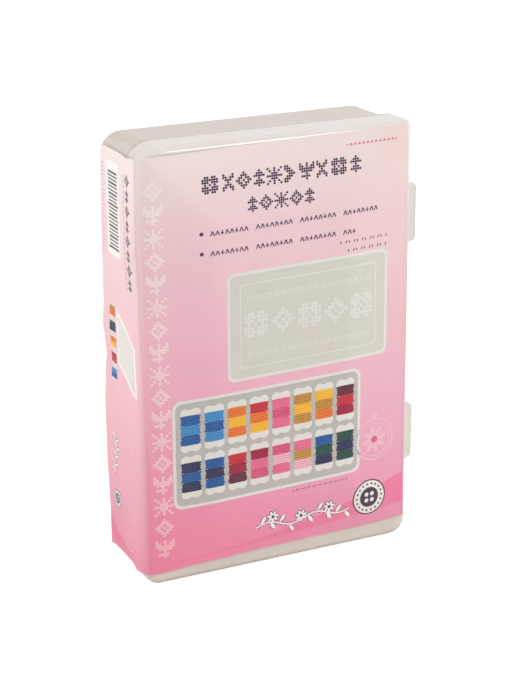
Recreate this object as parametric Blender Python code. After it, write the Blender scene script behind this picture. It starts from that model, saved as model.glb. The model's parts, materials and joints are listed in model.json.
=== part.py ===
"""Embroidery thread box, standing on its short end as a shop shows it.

A shallow box of frosted polypropylene: a tray with three moulded dividers, a lid joined to it by
a moulded film hinge along one long side, and two clasps on film hinges on the opposite side of
the lid. On the clasp side the tray's wall stands back under a ledge, and each clasp's hook goes
under that ledge. A printed card wrap goes round the front, the hinge side and the back like a
book cover, and is creased along the hinge. Twenty-five flat card bobbins stand on edge in the
four compartments.

Frame: metres, +Z up. The hinge side faces -X, the clasps +X, the lid -Y and the tray's floor +Y.
The origin is on the lower end face, in the middle of the box's width and depth.
"""

import math

import bmesh
import bpy

MM = 0.001
QUARTER = math.pi / 2

# Outside sizes of the closed box, without its card wrap
box_width = 120.65 * MM
box_height = 180.0 * MM
box_depth = 40.0 * MM
lid_depth = 15.5 * MM
corner_radius = 6.0 * MM

# Moulded walls, shared by lid and tray
wall = 1.6 * MM
parting_gap = 0.3 * MM
inner_edge_radius = 1.4 * MM

# Lid: a shallow crown with mitred corners on a flat border
crown_height = 1.2 * MM
crown_frame = 19.0 * MM
crown_corner_radius = 1.0 * MM
lid_edge_radius = 3.5 * MM

# Lap joint where the tray's lip goes inside the lid's rim
lap_height = 1.5 * MM
lap_clearance = 0.25 * MM
lid_lip_thickness = 0.65 * MM

# Tray, with its clasp side set back under a ledge that carries the lid's rim
tray_edge_radius = 2.0 * MM
tray_draft = 0.8 * MM
tray_recess = 4.3 * MM
tray_recess_radius = 3.6 * MM
ledge_thickness = 1.2 * MM
ledge_root = 5.0 * MM

# Dividers moulded into the tray
divider_count = 3
divider_thickness = 1.2 * MM
divider_taper = 0.3 * MM
divider_drop = 1.0 * MM

# Film hinge between lid and tray: a thin web at the outer face, with a groove inside it
web_thickness = 0.5 * MM
web_half_width = 0.8 * MM
hinge_end_margin = 9.0 * MM

# Clasps, in the open position in which they were moulded
clasp_length = 10.2 * MM
clasp_width = 25.6 * MM
clasp_thickness = 1.2 * MM
clasp_corner_radius = 2.6 * MM
clasps_middle = 89.3 * MM
clasp_from_middle = 48.6 * MM
clasp_rim_setback = 0.25 * MM
clasp_root_gap = 0.3 * MM
clasp_web_thickness = 0.5 * MM
clasp_web_width = 0.9 * MM

# Hook along each clasp, which goes under the ledge when the clasp is shut
hook_height = 1.6 * MM
hook_thickness = 1.2 * MM
hook_end_margin = 3.0 * MM
hook_clearance = 0.2 * MM

# Card wrap
card_thickness = 0.4 * MM
card_gap = 0.3 * MM
card_bottom = 5.6 * MM
card_top_margin = 3.4 * MM
card_rise = 2.5 * MM
card_right_margin = 2.1 * MM
card_back_margin = 3.0 * MM
crease_gap = 0.3 * MM

# Card bobbins
bobbin_counts = (6, 6, 6, 7)
bobbin_play = 2.3 * MM
bobbin_headroom = 1.8 * MM
bobbin_thickness = 0.8 * MM
bobbin_lobe_radius = 4.2 * MM
bobbin_neck_step = 4.0 * MM
bobbin_waist = 1.0 * MM
bobbin_slit_width = 1.4 * MM
bobbin_slit_depth = 3.2 * MM
bobbin_hole_radius = 1.9 * MM
bobbin_gap = 0.3 * MM
bobbin_seat = 0.3 * MM

# Plain colours and roughness of the four materials
frosted_colour, frosted_roughness, frosted_alpha = (0.80, 0.77, 0.73), 0.42, 0.55
clasp_colour, clasp_roughness, clasp_alpha = (0.78, 0.76, 0.71), 0.40, 0.65
printed_colour, printed_roughness = (0.88, 0.48, 0.56), 0.45
board_colour, board_roughness = (0.62, 0.52, 0.42), 0.85

# How finely round stretches are divided
corner_steps = 5
edge_steps = 3
lobe_steps = 6
hole_steps = 10

cut_overrun = 2.0 * MM

# Places that follow from the sizes
half_width = box_width / 2
front = -box_depth / 2
back = box_depth / 2
parting = front + lid_depth
lid_rim = parting - parting_gap / 2
tray_rim = parting + parting_gap / 2
tray_depth = back - parting
tray_side = half_width - tray_recess
ledge_under = tray_rim + ledge_thickness
tongue_inset = lid_lip_thickness + lap_clearance
tongue_top = tray_rim - lap_height
floor_face = back - wall
compartment = (box_height - 2 * wall - divider_count * divider_thickness) / (divider_count + 1)
bobbin_width = compartment - bobbin_play
bobbin_height = box_depth - 2 * wall - bobbin_headroom
card_height = box_height - card_bottom - card_top_margin
card_inner = half_width + card_gap
card_outer = card_inner + card_thickness
hinge_x = -card_outer
hinge_y = parting
clasp_face = lid_rim - clasp_rim_setback
clasp_far = clasp_face - clasp_thickness
clasp_root = half_width + clasp_root_gap
clasp_axis_x = half_width + clasp_root_gap / 2
clasp_axis_y = clasp_face


def clear_scene():
    """Remove every object from the scene."""
    for item in list(bpy.data.objects):
        bpy.data.objects.remove(item, do_unlink=True)


def principled(name, colour, roughness, alpha=1.0):
    """Return a Principled material with a colour, a roughness and an alpha."""
    material = bpy.data.materials.new(name)
    material.use_nodes = True
    shader = material.node_tree.nodes["Principled BSDF"]
    shader.inputs["Base Color"].default_value = (*colour, 1.0)
    shader.inputs["Roughness"].default_value = roughness
    shader.inputs["Metallic"].default_value = 0.0
    shader.inputs["Alpha"].default_value = alpha
    material.diffuse_color = (*colour, alpha)
    return material


def object_from(mesh_data, name, material=None, parent=None):
    """Turn a bmesh into a named object, with its faces pointing out."""
    bmesh.ops.recalc_face_normals(mesh_data, faces=mesh_data.faces)
    mesh = bpy.data.meshes.new(name)
    mesh_data.to_mesh(mesh)
    mesh_data.free()
    item = bpy.data.objects.new(name, mesh)
    bpy.context.scene.collection.objects.link(item)
    if material is not None:
        mesh.materials.append(material)
    if parent is not None:
        item.parent = parent
        item.matrix_parent_inverse = parent.matrix_world.inverted()
    return item


def empty_at(name, place, parent=None):
    """Return an empty on a joint's axis, to carry the pieces that turn there."""
    item = bpy.data.objects.new(name, None)
    item.location = place
    bpy.context.scene.collection.objects.link(item)
    if parent is not None:
        item.parent = parent
        item.matrix_parent_inverse = parent.matrix_world.inverted()
    bpy.context.view_layer.update()
    return item


def arc_points(centre, radius, start, end, steps):
    """Return the points of an arc about a centre, from one angle to another."""
    points = []
    for step in range(steps + 1):
        angle = start + (end - start) * step / steps
        points.append((centre[0] + radius * math.cos(angle), centre[1] + radius * math.sin(angle)))
    return points


def box_outline(side, inset, radius, clasp_side=None, clasp_radius=None):
    """Return a rounded outline in X and Z, with the corners counted from the upper clasp side."""
    right = side if clasp_side is None else clasp_side
    right_radius = radius if clasp_radius is None else clasp_radius
    low, high = inset, box_height - inset
    corners = (
        (right - right_radius, high - right_radius, right_radius),
        (-side + radius, high - radius, radius),
        (-side + radius, low + radius, radius),
        (right - right_radius, low + right_radius, right_radius),
    )
    points = []
    for quarter, (x, z, turn) in enumerate(corners):
        points += arc_points((x, z), turn, QUARTER * quarter, QUARTER * (quarter + 1), corner_steps)
    return points


def lid_outline(inset, radius):
    """Return the lid's outline, moved in by inset."""
    return box_outline(half_width - inset, inset, radius)


def tray_outline(inset, y):
    """Return the tray's outline at y, moved in by inset: drafted sides, set back at the clasps."""
    pull = inset + tray_draft * max(0.0, y - parting) / tray_depth
    radius, clasp_radius = corner_radius - inset, tray_recess_radius - inset
    return box_outline(half_width - pull, inset, radius, tray_side - pull, clasp_radius)


def add_ring(mesh_data, outline, y):
    """Add one ring of vertices from an outline in X and Z."""
    return [mesh_data.verts.new((x, y, z)) for x, z in outline]


def join_rings(mesh_data, rings):
    """Close a chain of rings into one body: quads between them and a cap on each end."""
    for first, second in zip(rings, rings[1:]):
        count = len(first)
        for index in range(count):
            after = (index + 1) % count
            mesh_data.faces.new((first[index], first[after], second[after], second[index]))
    mesh_data.faces.new(rings[0])
    mesh_data.faces.new(rings[-1])


def add_bar(mesh_data, low, high, taper=0.0):
    """Add a closed bar between two corners, narrowed along Z by taper at its low-Y face."""
    rings = []
    for y, inset in ((low[1], taper), (high[1], 0.0)):
        bottom, top = low[2] + inset, high[2] - inset
        outline = ((low[0], bottom), (high[0], bottom), (high[0], top), (low[0], top))
        rings.append(add_ring(mesh_data, outline, y))
    join_rings(mesh_data, rings)


def as_tool(item):
    """Mark an object as a modelling tool that is no part of the box."""
    item.hide_render = True
    item.display_type = "WIRE"
    return item


def add_boolean(item, tool, operation):
    """Add or subtract a tool's shape with an exact Boolean."""
    modifier = item.modifiers.new(tool.name, "BOOLEAN")
    modifier.operation = operation
    modifier.solver = "EXACT"
    modifier.object = tool


def edge_arc(radius, steps):
    """Return inset and depth for the steps of a quarter round, from the face to the side."""
    stops = []
    for step in range(1, steps + 1):
        angle = QUARTER * step / steps
        stops.append((radius * (1 - math.sin(angle)), radius * (1 - math.cos(angle))))
    return stops


def make_lid(material, parent):
    """Build the lid: crowned front, rounded edge, thin rim lip and the matching inside."""
    data = bmesh.new()
    crown = front - crown_height
    border_radius = corner_radius - lid_edge_radius
    lip_radius = corner_radius - lid_lip_thickness
    shelf = lid_rim - lap_height - lap_clearance
    inner_radius = corner_radius - wall
    inner_border = wall + inner_edge_radius
    stops = [(crown_frame, crown, crown_corner_radius), (lid_edge_radius, front, border_radius)]
    for inset, depth in edge_arc(lid_edge_radius, edge_steps):
        stops.append((inset, front + depth, corner_radius - inset))
    stops += [
        (0.0, lid_rim, corner_radius),
        (lid_lip_thickness, lid_rim, lip_radius),
        (lid_lip_thickness, shelf, lip_radius),
        (wall, shelf, inner_radius),
        (wall, front + inner_border, inner_radius),
        (inner_border, front + wall, corner_radius - inner_border),
        (crown_frame, crown + wall, crown_corner_radius),
    ]
    join_rings(data, [add_ring(data, lid_outline(inset, radius), y) for inset, y, radius in stops])
    return object_from(data, "lid", material, parent)


def make_tray(material):
    """Build the tray: drafted long sides, a lip inside the lid, and a flat floor."""
    data = bmesh.new()
    stops = [(tray_edge_radius, back)]
    stops += [(inset, back - depth) for inset, depth in edge_arc(tray_edge_radius, edge_steps)]
    stops += [
        (0.0, tray_rim),
        (tongue_inset, tray_rim),
        (tongue_inset, tongue_top),
        (wall, tongue_top),
        (wall, floor_face - inner_edge_radius),
        (wall + inner_edge_radius, floor_face),
    ]
    join_rings(data, [add_ring(data, tray_outline(inset, y), y) for inset, y in stops])
    return object_from(data, "tray", material)


def divider_middles():
    """Return the height of the middle of each divider."""
    pitch = compartment + divider_thickness
    return [wall + pitch * (k + 1) - divider_thickness / 2 for k in range(divider_count)]


def make_dividers():
    """Build the dividers, which bite into the tray's walls and floor."""
    data = bmesh.new()
    bite = wall / 2 + tray_draft
    half = divider_thickness / 2
    for middle in divider_middles():
        low = (-half_width + bite, tray_rim + divider_drop, middle - half)
        high = (tray_side - bite, floor_face + wall / 2, middle + half)
        add_bar(data, low, high, divider_taper / 2)
    return as_tool(object_from(data, "dividers"))


def make_ledge():
    """Build the ledge on the clasp side, from the tray's wall out to the lid's outline."""
    data = bmesh.new()
    count = corner_steps + 1
    start = tray_side - ledge_root
    outer = lid_outline(0.0, corner_radius)
    inner = tray_outline(wall / 2, tray_rim)
    outline = [(start, 0.0)] + outer[-count:] + outer[:count] + [(start, box_height)]
    outline += [(start, box_height - wall / 2)]
    outline += inner[:count][::-1] + inner[-count:][::-1]
    outline += [(start, wall / 2)]
    join_rings(data, [add_ring(data, outline, tray_rim), add_ring(data, outline, ledge_under)])
    return as_tool(object_from(data, "ledge"))


def make_hinge_groove():
    """Build the bar that thins both rims on the hinge side to a film."""
    data = bmesh.new()
    inner_side = -half_width + wall + cut_overrun
    add_bar(
        data,
        (-half_width + web_thickness, lid_rim - lap_height - web_half_width, hinge_end_margin),
        (inner_side, tray_rim + web_half_width, box_height - hinge_end_margin),
    )
    return as_tool(object_from(data, "hinge_groove"))


def clasp_outline(middle):
    """Return the clasp's outline in X and Z, with its two outer corners rounded."""
    half, turn = clasp_width / 2, clasp_corner_radius
    low, high = middle - half, middle + half
    turn_x = clasp_root + clasp_length - turn
    points = [(clasp_root, low)]
    points += arc_points((turn_x, low + turn), turn, -QUARTER, 0.0, corner_steps)
    points += arc_points((turn_x, high - turn), turn, 0.0, QUARTER, corner_steps)
    points.append((clasp_root, high))
    return points


def make_hook(name, middle):
    """Build a clasp's hook, a bar on the face that turns to the tray."""
    data = bmesh.new()
    start = clasp_axis_x + ledge_under - clasp_axis_y + hook_clearance
    half = clasp_width / 2 - hook_end_margin
    low = (start, clasp_face - clasp_thickness / 2, middle - half)
    high = (start + hook_thickness, clasp_face + hook_height, middle + half)
    add_bar(data, low, high)
    return as_tool(object_from(data, name + "_hook"))


def make_clasp_groove(name, middle):
    """Build the bar that thins a clasp's root to a film."""
    data = bmesh.new()
    half = clasp_width / 2 + cut_overrun
    low = (clasp_root - cut_overrun, clasp_far - cut_overrun, middle - half)
    high = (clasp_root + clasp_web_width, clasp_face - clasp_web_thickness, middle + half)
    add_bar(data, low, high)
    return as_tool(object_from(data, name + "_groove"))


def make_clasp(name, middle, material, parent):
    """Build a clasp: a plate with a hook along it and a root thinned to a film."""
    data = bmesh.new()
    outline = clasp_outline(middle)
    join_rings(data, [add_ring(data, outline, clasp_face), add_ring(data, outline, clasp_far)])
    clasp = object_from(data, name, material, parent)
    add_boolean(clasp, make_hook(name, middle), "UNION")
    add_boolean(clasp, make_clasp_groove(name, middle), "DIFFERENCE")
    return clasp


def sheet_body(inner, outer, name, material, parent=None):
    """Close two grids of points, one for each face of a card, into one thin body."""
    data = bmesh.new()
    grids = []
    for grid in (inner, outer):
        grids.append([[data.verts.new(point) for point in column] for column in grid])
    columns, rows = len(inner), len(inner[0])
    for grid in grids:
        for i in range(columns - 1):
            for j in range(rows - 1):
                quad = (grid[i][j], grid[i + 1][j], grid[i + 1][j + 1], grid[i][j + 1])
                mitre_rises = (i == 0) == (j == 0)
                order = (0, 1, 2, 0, 2, 3) if mitre_rises else (1, 2, 3, 1, 3, 0)
                data.faces.new([quad[k] for k in order[:3]])
                data.faces.new([quad[k] for k in order[3:]])
    near, far = grids
    for i in range(columns - 1):
        for j in (0, rows - 1):
            data.faces.new((near[i][j], near[i + 1][j], far[i + 1][j], far[i][j]))
    for j in range(rows - 1):
        for i in (0, columns - 1):
            data.faces.new((near[i][j], near[i][j + 1], far[i][j + 1], far[i][j]))
    return object_from(data, name, material, parent)


def lid_face(x, z):
    """Return the Y of the lid's outer face: flat border, sloping frame, flat crown."""
    inset = min(half_width - abs(x), z, box_height - z)
    share = (inset - lid_edge_radius) / (crown_frame - lid_edge_radius)
    return front - crown_height * min(1.0, max(0.0, share))


def make_wrap_front(material, parent):
    """Build the wrap's front half: the panel on the lid's crown, the fold and the spine strip."""
    crown_x = half_width - crown_frame
    fold_centre = (-half_width + lid_edge_radius, front + lid_edge_radius)
    faces = []
    for offset in (card_gap, card_gap + card_thickness):
        grid = []
        for x in (half_width - card_right_margin, crown_x, -crown_x):
            bottom = card_bottom + card_rise * (x + half_width) / box_width
            rows = (bottom, crown_frame, box_height - crown_frame, bottom + card_height)
            grid.append([(x, lid_face(x, z) - offset, z) for z in rows])
        radius = lid_edge_radius + offset
        path = arc_points(fold_centre, radius, -QUARTER, -2 * QUARTER, edge_steps)
        path.append((-half_width - offset, parting - crease_gap / 2))
        rows = (card_bottom, crown_frame, box_height - crown_frame, card_bottom + card_height)
        grid += [[(x, y, z) for z in rows] for x, y in path]
        faces.append(grid)
    return sheet_body(faces[0], faces[1], "wrap_front", material, parent)


def make_wrap_back(material):
    """Build the wrap's rear half: the spine strip, the rear fold and the back panel."""
    right = tray_side - tray_draft - card_back_margin
    fold_centre = (-half_width + tray_draft + tray_edge_radius, back - tray_edge_radius)
    rows = (0.0, card_height)
    faces = []
    for offset in (card_gap, card_gap + card_thickness):
        radius = tray_edge_radius + offset
        path = [(-half_width - offset, parting + crease_gap / 2)]
        path += arc_points(fold_centre, radius, 2 * QUARTER, QUARTER, edge_steps)
        path.append((right, back + offset))
        faces.append([[(x, y, card_bottom + height) for height in rows] for x, y in path])
    return sheet_body(faces[0], faces[1], "wrap_back", material)


def bobbin_outline():
    """Return a bobbin's outline, across and up: a neck for thread between four round lobes."""
    half_across, half_up = bobbin_width / 2, bobbin_height / 2
    lobe = bobbin_lobe_radius
    lobe_centre = (half_across - lobe, half_up - lobe)
    waist = half_across - bobbin_waist
    quarter = [(half_across - 2 * lobe, half_up - bobbin_neck_step)]
    quarter += arc_points(lobe_centre, lobe, 2 * QUARTER, 0.0, lobe_steps)
    quarter.append((waist, bobbin_slit_width / 2))
    right = quarter + [(waist - bobbin_slit_depth, 0.0)]
    right += [(across, -up) for across, up in reversed(quarter)]
    left = [(-across, -up) for across, up in right]
    return right + left


def make_bobbin_mesh(material):
    """Build the bobbin's mesh once: a stamped card with one hole, which all bobbins share."""
    data = bmesh.new()
    lobe = bobbin_lobe_radius
    hole_centre = (bobbin_width / 2 - lobe, bobbin_height / 2 - lobe)
    hole = arc_points(hole_centre, bobbin_hole_radius, 0.0, 4 * QUARTER, hole_steps)[:-1]
    edges = []
    for loop in (bobbin_outline(), hole):
        ring = [data.verts.new((0.0, -up, across)) for across, up in loop]
        for index, vertex in enumerate(ring):
            edges.append(data.edges.new((vertex, ring[(index + 1) % len(ring)])))
    bmesh.ops.triangle_fill(data, edges=edges, use_beauty=True)
    made = bmesh.ops.extrude_face_region(data, geom=list(data.faces))
    moved = [item for item in made["geom"] if isinstance(item, bmesh.types.BMVert)]
    bmesh.ops.translate(data, verts=moved, vec=(bobbin_thickness, 0.0, 0.0))
    bmesh.ops.recalc_face_normals(data, faces=data.faces)
    mesh = bpy.data.meshes.new("bobbin")
    data.to_mesh(mesh)
    data.free()
    mesh.materials.append(material)
    return mesh


def make_bobbins(material):
    """Stand a pack of bobbins on edge near the clasp side of each compartment."""
    mesh = make_bobbin_mesh(material)
    pitch = bobbin_thickness + bobbin_gap
    first = tray_side - tray_recess_radius - bobbin_thickness
    y = floor_face - bobbin_seat - bobbin_height / 2
    levels = [wall] + [middle + divider_thickness / 2 for middle in divider_middles()]
    number = 0
    for level, count in zip(levels, bobbin_counts):
        for place in range(count):
            number += 1
            item = bpy.data.objects.new(f"bobbin_{number:02d}", mesh)
            item.location = (first - pitch * place, y, level + bobbin_seat + bobbin_width / 2)
            bpy.context.scene.collection.objects.link(item)


def main():
    """Build the box."""
    clear_scene()
    frosted = principled("frosted_polypropylene", frosted_colour, frosted_roughness, frosted_alpha)
    tough = principled("clasp_polypropylene", clasp_colour, clasp_roughness, clasp_alpha)
    printed = principled("printed_card", printed_colour, printed_roughness)
    board = principled("bobbin_card", board_colour, board_roughness)

    hinge = empty_at("lid_hinge_axis", (hinge_x, hinge_y, box_height / 2))
    lid = make_lid(frosted, hinge)
    tray = make_tray(frosted)
    add_boolean(tray, make_dividers(), "UNION")
    add_boolean(tray, make_ledge(), "UNION")
    groove = make_hinge_groove()
    add_boolean(lid, groove, "DIFFERENCE")
    add_boolean(tray, groove, "DIFFERENCE")

    for name, side in (("clasp_lower", -1), ("clasp_upper", 1)):
        middle = clasps_middle + side * clasp_from_middle
        axis = empty_at(name + "_axis", (clasp_axis_x, clasp_axis_y, middle), hinge)
        make_clasp(name, middle, tough, axis)

    make_wrap_front(printed, hinge)
    make_wrap_back(printed)
    make_bobbins(board)


main()
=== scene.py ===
"""Looks of the embroidery thread box: frosted shells, clasps, printed card wrap and card bobbins.

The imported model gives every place. Each sub-assembly is a class that builds its own meshes and
dresses them. Lengths are metres, +Z is up, the lid faces -Y and the hinge side faces -X.
"""

import json
import logging
import math
from dataclasses import dataclass, field
from enum import Enum

import bmesh
import bpy
from bmesh.types import BMesh, BMVert
from bpy.types import Material, Mesh, Node, NodeInputs, NodeOutputs, NodeSocket, NodeTree, Object
from mathutils import Matrix, Vector


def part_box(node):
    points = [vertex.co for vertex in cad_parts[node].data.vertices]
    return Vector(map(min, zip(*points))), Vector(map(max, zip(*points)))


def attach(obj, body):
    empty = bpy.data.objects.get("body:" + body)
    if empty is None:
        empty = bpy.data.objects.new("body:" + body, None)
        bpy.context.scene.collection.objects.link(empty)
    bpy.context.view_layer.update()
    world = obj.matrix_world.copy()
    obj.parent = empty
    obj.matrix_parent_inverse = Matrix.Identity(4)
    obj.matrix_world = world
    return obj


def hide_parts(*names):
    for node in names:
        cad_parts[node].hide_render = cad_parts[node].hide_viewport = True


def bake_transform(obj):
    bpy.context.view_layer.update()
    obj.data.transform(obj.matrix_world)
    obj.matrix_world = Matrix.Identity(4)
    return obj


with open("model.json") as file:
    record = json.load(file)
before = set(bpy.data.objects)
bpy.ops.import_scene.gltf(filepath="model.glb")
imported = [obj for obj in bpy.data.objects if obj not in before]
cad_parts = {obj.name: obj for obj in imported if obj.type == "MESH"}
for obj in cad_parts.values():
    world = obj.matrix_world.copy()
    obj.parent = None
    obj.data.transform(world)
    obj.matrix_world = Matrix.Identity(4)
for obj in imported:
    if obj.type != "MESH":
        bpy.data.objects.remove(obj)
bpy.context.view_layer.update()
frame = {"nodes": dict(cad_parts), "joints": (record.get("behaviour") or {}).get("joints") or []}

MM = 0.001
QUARTER = math.pi / 2
FULL_TURN = 4 * QUARTER
LOG = logging.getLogger("thread_box")

Pair = tuple[float, float]
Triple = tuple[float, float, float]
Colour = tuple[int, int, int]
Wash = tuple[tuple[float, Colour], ...]
Chart = tuple[str, ...]


class Slot(Enum):
    """The record's material slots."""

    FROSTED = "frosted_plastic"
    CLASP = "clasp_plastic"
    CARD = "printed_card"
    BOBBIN = "bobbin_card"


class Ink(Enum):
    """Printing inks, as red, green and blue from 0 to 255."""

    NAVY = (65, 44, 74)
    GHOST = (244, 231, 226)
    ROSE = (226, 90, 130)
    SWEEP = (243, 127, 163)
    BLUSH = (243, 192, 204)
    WHITE = (252, 250, 248)
    CREAM = (240, 236, 230)
    PANEL = (216, 213, 204)
    PANEL_LIGHT = (232, 230, 224)
    PANEL_SHADE = (190, 187, 182)
    STRIPE = (96, 92, 96)
    SKY = (62, 146, 205)
    BLUE = (24, 92, 168)
    MIDNIGHT = (30, 42, 84)
    RED = (206, 40, 52)
    ORANGE = (240, 126, 34)
    YELLOW = (250, 196, 48)
    PINK = (236, 108, 150)
    CRIMSON = (168, 22, 62)
    MAROON = (104, 26, 44)
    GOLD = (206, 150, 58)
    GREEN = (30, 74, 58)
    BROWN = (116, 74, 38)


WASH_HEIGHT = 180.0 * MM
FADES: dict[Ink, Wash] = {
    Ink.GHOST: ((12.0, (254, 194, 204)), (36.0, (254, 204, 210)), (77.0, (255, 218, 220)),
                (118.0, (254, 228, 228)), (160.0, (252, 241, 237))),
}


def linear(colour: Colour) -> tuple[float, float, float, float]:
    """Turn a screen colour into the linear one that a shader takes.

    Args:
        colour: Red, green and blue from 0 to 255.

    Returns:
        Linear red, green and blue, with an alpha of 1.
    """
    parts = []
    for value in colour:
        share = value / 255
        parts.append(share / 12.92 if share <= 0.04045 else ((share + 0.055) / 1.055) ** 2.4)
    return (parts[0], parts[1], parts[2], 1.0)


def soft_min(first: float, second: float, blend: float) -> float:
    """Return the smaller of two lengths, with the corner between them rounded over blend."""
    near = max(blend - abs(first - second), 0.0) / blend
    return min(first, second) - near * near * blend / 4


def smooth_step(value: float, low: float, high: float) -> float:
    """Return 0 below low, 1 above high and a smooth rise between them."""
    share = min(1.0, max(0.0, (value - low) / (high - low)))
    return share * share * (3 - 2 * share)


def along_table(value: float, table: tuple[Pair, ...]) -> float:
    """Read a table of places, smoothly between its entries.

    Args:
        value: Where to read, in millimetres.
        table: Pairs of a place and a reading there, in millimetres, in rising order.

    Returns:
        The reading at that place, in metres.
    """
    if value <= table[0][0]:
        return table[0][1] * MM
    for (start, low), (end, high) in zip(table, table[1:]):
        if value <= end:
            return (low + (high - low) * smooth_step(value, start, end)) * MM
    return table[-1][1] * MM


def arc(centre: Pair, radius: float, start: float, end: float, steps: int) -> list[Pair]:
    """Return points along an arc about a centre, from one angle to another."""
    points = []
    for step in range(steps + 1):
        angle = start + (end - start) * step / steps
        points.append((centre[0] + radius * math.cos(angle), centre[1] + radius * math.sin(angle)))
    return points


def rounded_profile(corners: list[tuple[float, float, float]], steps: int) -> list[Pair]:
    """Round the corners of an open profile.

    Args:
        corners: Two coordinates and a fillet radius for each corner; the ends stay as they are.
        steps: How many steps a fillet has.

    Returns:
        The points of the rounded profile.
    """
    points = []
    for index, (across, along, radius) in enumerate(corners):
        if radius == 0.0 or index in (0, len(corners) - 1):
            points.append((across, along))
            continue
        here = Vector((across, along))
        before = (Vector(corners[index - 1][:2]) - here).normalized()
        after = (Vector(corners[index + 1][:2]) - here).normalized()
        half = before.angle(after) / 2
        centre = here + (before + after).normalized() * radius / math.sin(half)
        reach = radius / math.tan(half)
        first = here + before * reach - centre
        last = here + after * reach - centre
        start = math.atan2(first.y, first.x)
        turn = math.atan2(first.x * last.y - first.y * last.x, first.dot(last))
        points += arc((centre.x, centre.y), radius, start, start + turn, steps)
    return points


def direction(azimuth: float, elevation: float) -> Vector:
    """Return the way from the box to a place round it, from two angles in degrees."""
    turn, rise = math.radians(azimuth), math.radians(elevation)
    return Vector((math.sin(turn) * math.cos(rise), -math.cos(turn) * math.cos(rise), math.sin(rise)))


def add_object(name: str, data: bpy.types.ID) -> Object:
    """Make an object and link it to the scene.

    Args:
        name: The object's name.
        data: Its mesh, light or camera.

    Returns:
        The object.
    """
    item = bpy.data.objects.new(name, data)
    bpy.context.scene.collection.objects.link(item)
    return item


@dataclass(frozen=True)
class BoxFrame:
    """Places of the closed box that several pieces share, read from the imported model."""

    half_width: float
    height: float
    crown: float
    front: float
    back: float
    parting: float
    hinge_x: float
    gap: float = 0.3 * MM
    wall: float = 1.6 * MM
    lap: float = 1.5 * MM
    ledge: float = 1.2 * MM
    cap_margin: float = 1.0 * MM
    corner_turns: tuple[float, ...] = (2.0 * MM, 12.5 * MM, 6.0 * MM, 6.8 * MM)
    corner_steps: int = 14
    side_pieces: int = 24
    crown_height: float = 1.2 * MM
    crown_swell: float = 0.6 * MM
    crown_frame: float = 30.0 * MM
    facet_blend: float = 0.8 * MM
    border: float = 3.5 * MM
    least_turn: float = 0.6 * MM
    tray_draft: float = 0.8 * MM
    tray_recess: float = 4.3 * MM

    @classmethod
    def read(cls) -> "BoxFrame":
        """Read the shared places from the frame's boxes and its lid hinge.

        Returns:
            The places, in metres.
        """
        lid_low, lid_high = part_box("lid")
        hinge = next(joint for joint in frame["joints"] if joint["name"] == "lid_hinge")
        return cls(
            half_width=lid_high.x,
            height=lid_high.z,
            crown=lid_low.y - cls.crown_swell,
            front=lid_low.y + cls.crown_height,
            back=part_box("tray")[1].y,
            parting=hinge["pos_m"][1],
            hinge_x=hinge["pos_m"][0],
        )

    @property
    def lid_rim(self) -> float:
        """Where the lid's rim ends, in Y."""
        return self.parting - self.gap / 2

    @property
    def tray_rim(self) -> float:
        """Where the tray's rim begins, in Y."""
        return self.parting + self.gap / 2

    @property
    def tray_side(self) -> float:
        """The tray's clasp side at the parting, in X."""
        return self.half_width - self.tray_recess

    @property
    def slope(self) -> float:
        """Rise of the crown's frame for each metre inward."""
        return (self.crown_height + self.crown_swell) / (self.crown_frame - self.border)

    def outline(self, inset: float, side: Pair | None = None, turns: tuple[float, ...] | None = None,
                pieces: int = 1) -> list[Pair]:
        """Return a rounded outline in X and Z, from the upper clasp corner round.

        Args:
            inset: How far the outline lies inside the box's end faces.
            side: The hinge side and the clasp side in X, if they aren't the lid's.
            turns: Radii of the four outer corners, if they aren't the lid's.
            pieces: How many pieces each straight side has.

        Returns:
            Points in X and Z.
        """
        left, right = side or (-self.half_width + inset, self.half_width - inset)
        low, high = inset, self.height - inset
        corners = ((right, high, -1, -1), (left, high, 1, -1), (left, low, 1, 1), (right, low, -1, 1))
        arcs = []
        for quarter, (x, z, across, up) in enumerate(corners):
            turn = max(self.least_turn, (turns or self.corner_turns)[quarter] - inset)
            centre = (x + across * turn, z + up * turn)
            arcs.append(arc(centre, turn, QUARTER * quarter, QUARTER * (quarter + 1), self.corner_steps))
        points = []
        for here, after in zip(arcs, arcs[1:] + arcs[:1]):
            start, end = Vector(here[-1]), Vector(after[0])
            points += here + [tuple(start.lerp(end, step / pieces)) for step in range(1, pieces)]
        return points

    def lid_face(self, x: float, z: float) -> float:
        """Return the Y of the lid's outer face, with its crease lines rounded off.

        Args:
            x: Place across.
            z: Place up.

        Returns:
            The face's Y at that place.
        """
        blend = self.facet_blend
        inset = soft_min(self.half_width - abs(x), soft_min(z, self.height - z, blend), blend)
        depth = -soft_min(self.border - inset, 0.0, blend)
        return self.front - self.slope * soft_min(depth, self.crown_frame - self.border, blend)


def join_rings(name: str, rings: list[list[Vector]]) -> Object:
    """Close a chain of rings into one body.

    Args:
        name: The object's name.
        rings: Rings with equal numbers of points.

    Returns:
        The object, with its faces pointing out.
    """
    data = bmesh.new()
    made = [[data.verts.new(point) for point in ring] for ring in rings]
    for first, second in zip(made, made[1:]):
        for index in range(len(first)):
            after = (index + 1) % len(first)
            data.faces.new((first[index], first[after], second[after], second[index]))
    data.faces.new(made[0])
    data.faces.new(made[-1])
    return finish_mesh(name, data)


def stack_outlines(name: str, levels: list[tuple[float, list[Pair]]]) -> Object:
    """Build a body from outlines in X and Z, each with its place in Y before it."""
    return join_rings(name, [[Vector((x, y, z)) for x, z in outline] for y, outline in levels])


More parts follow.
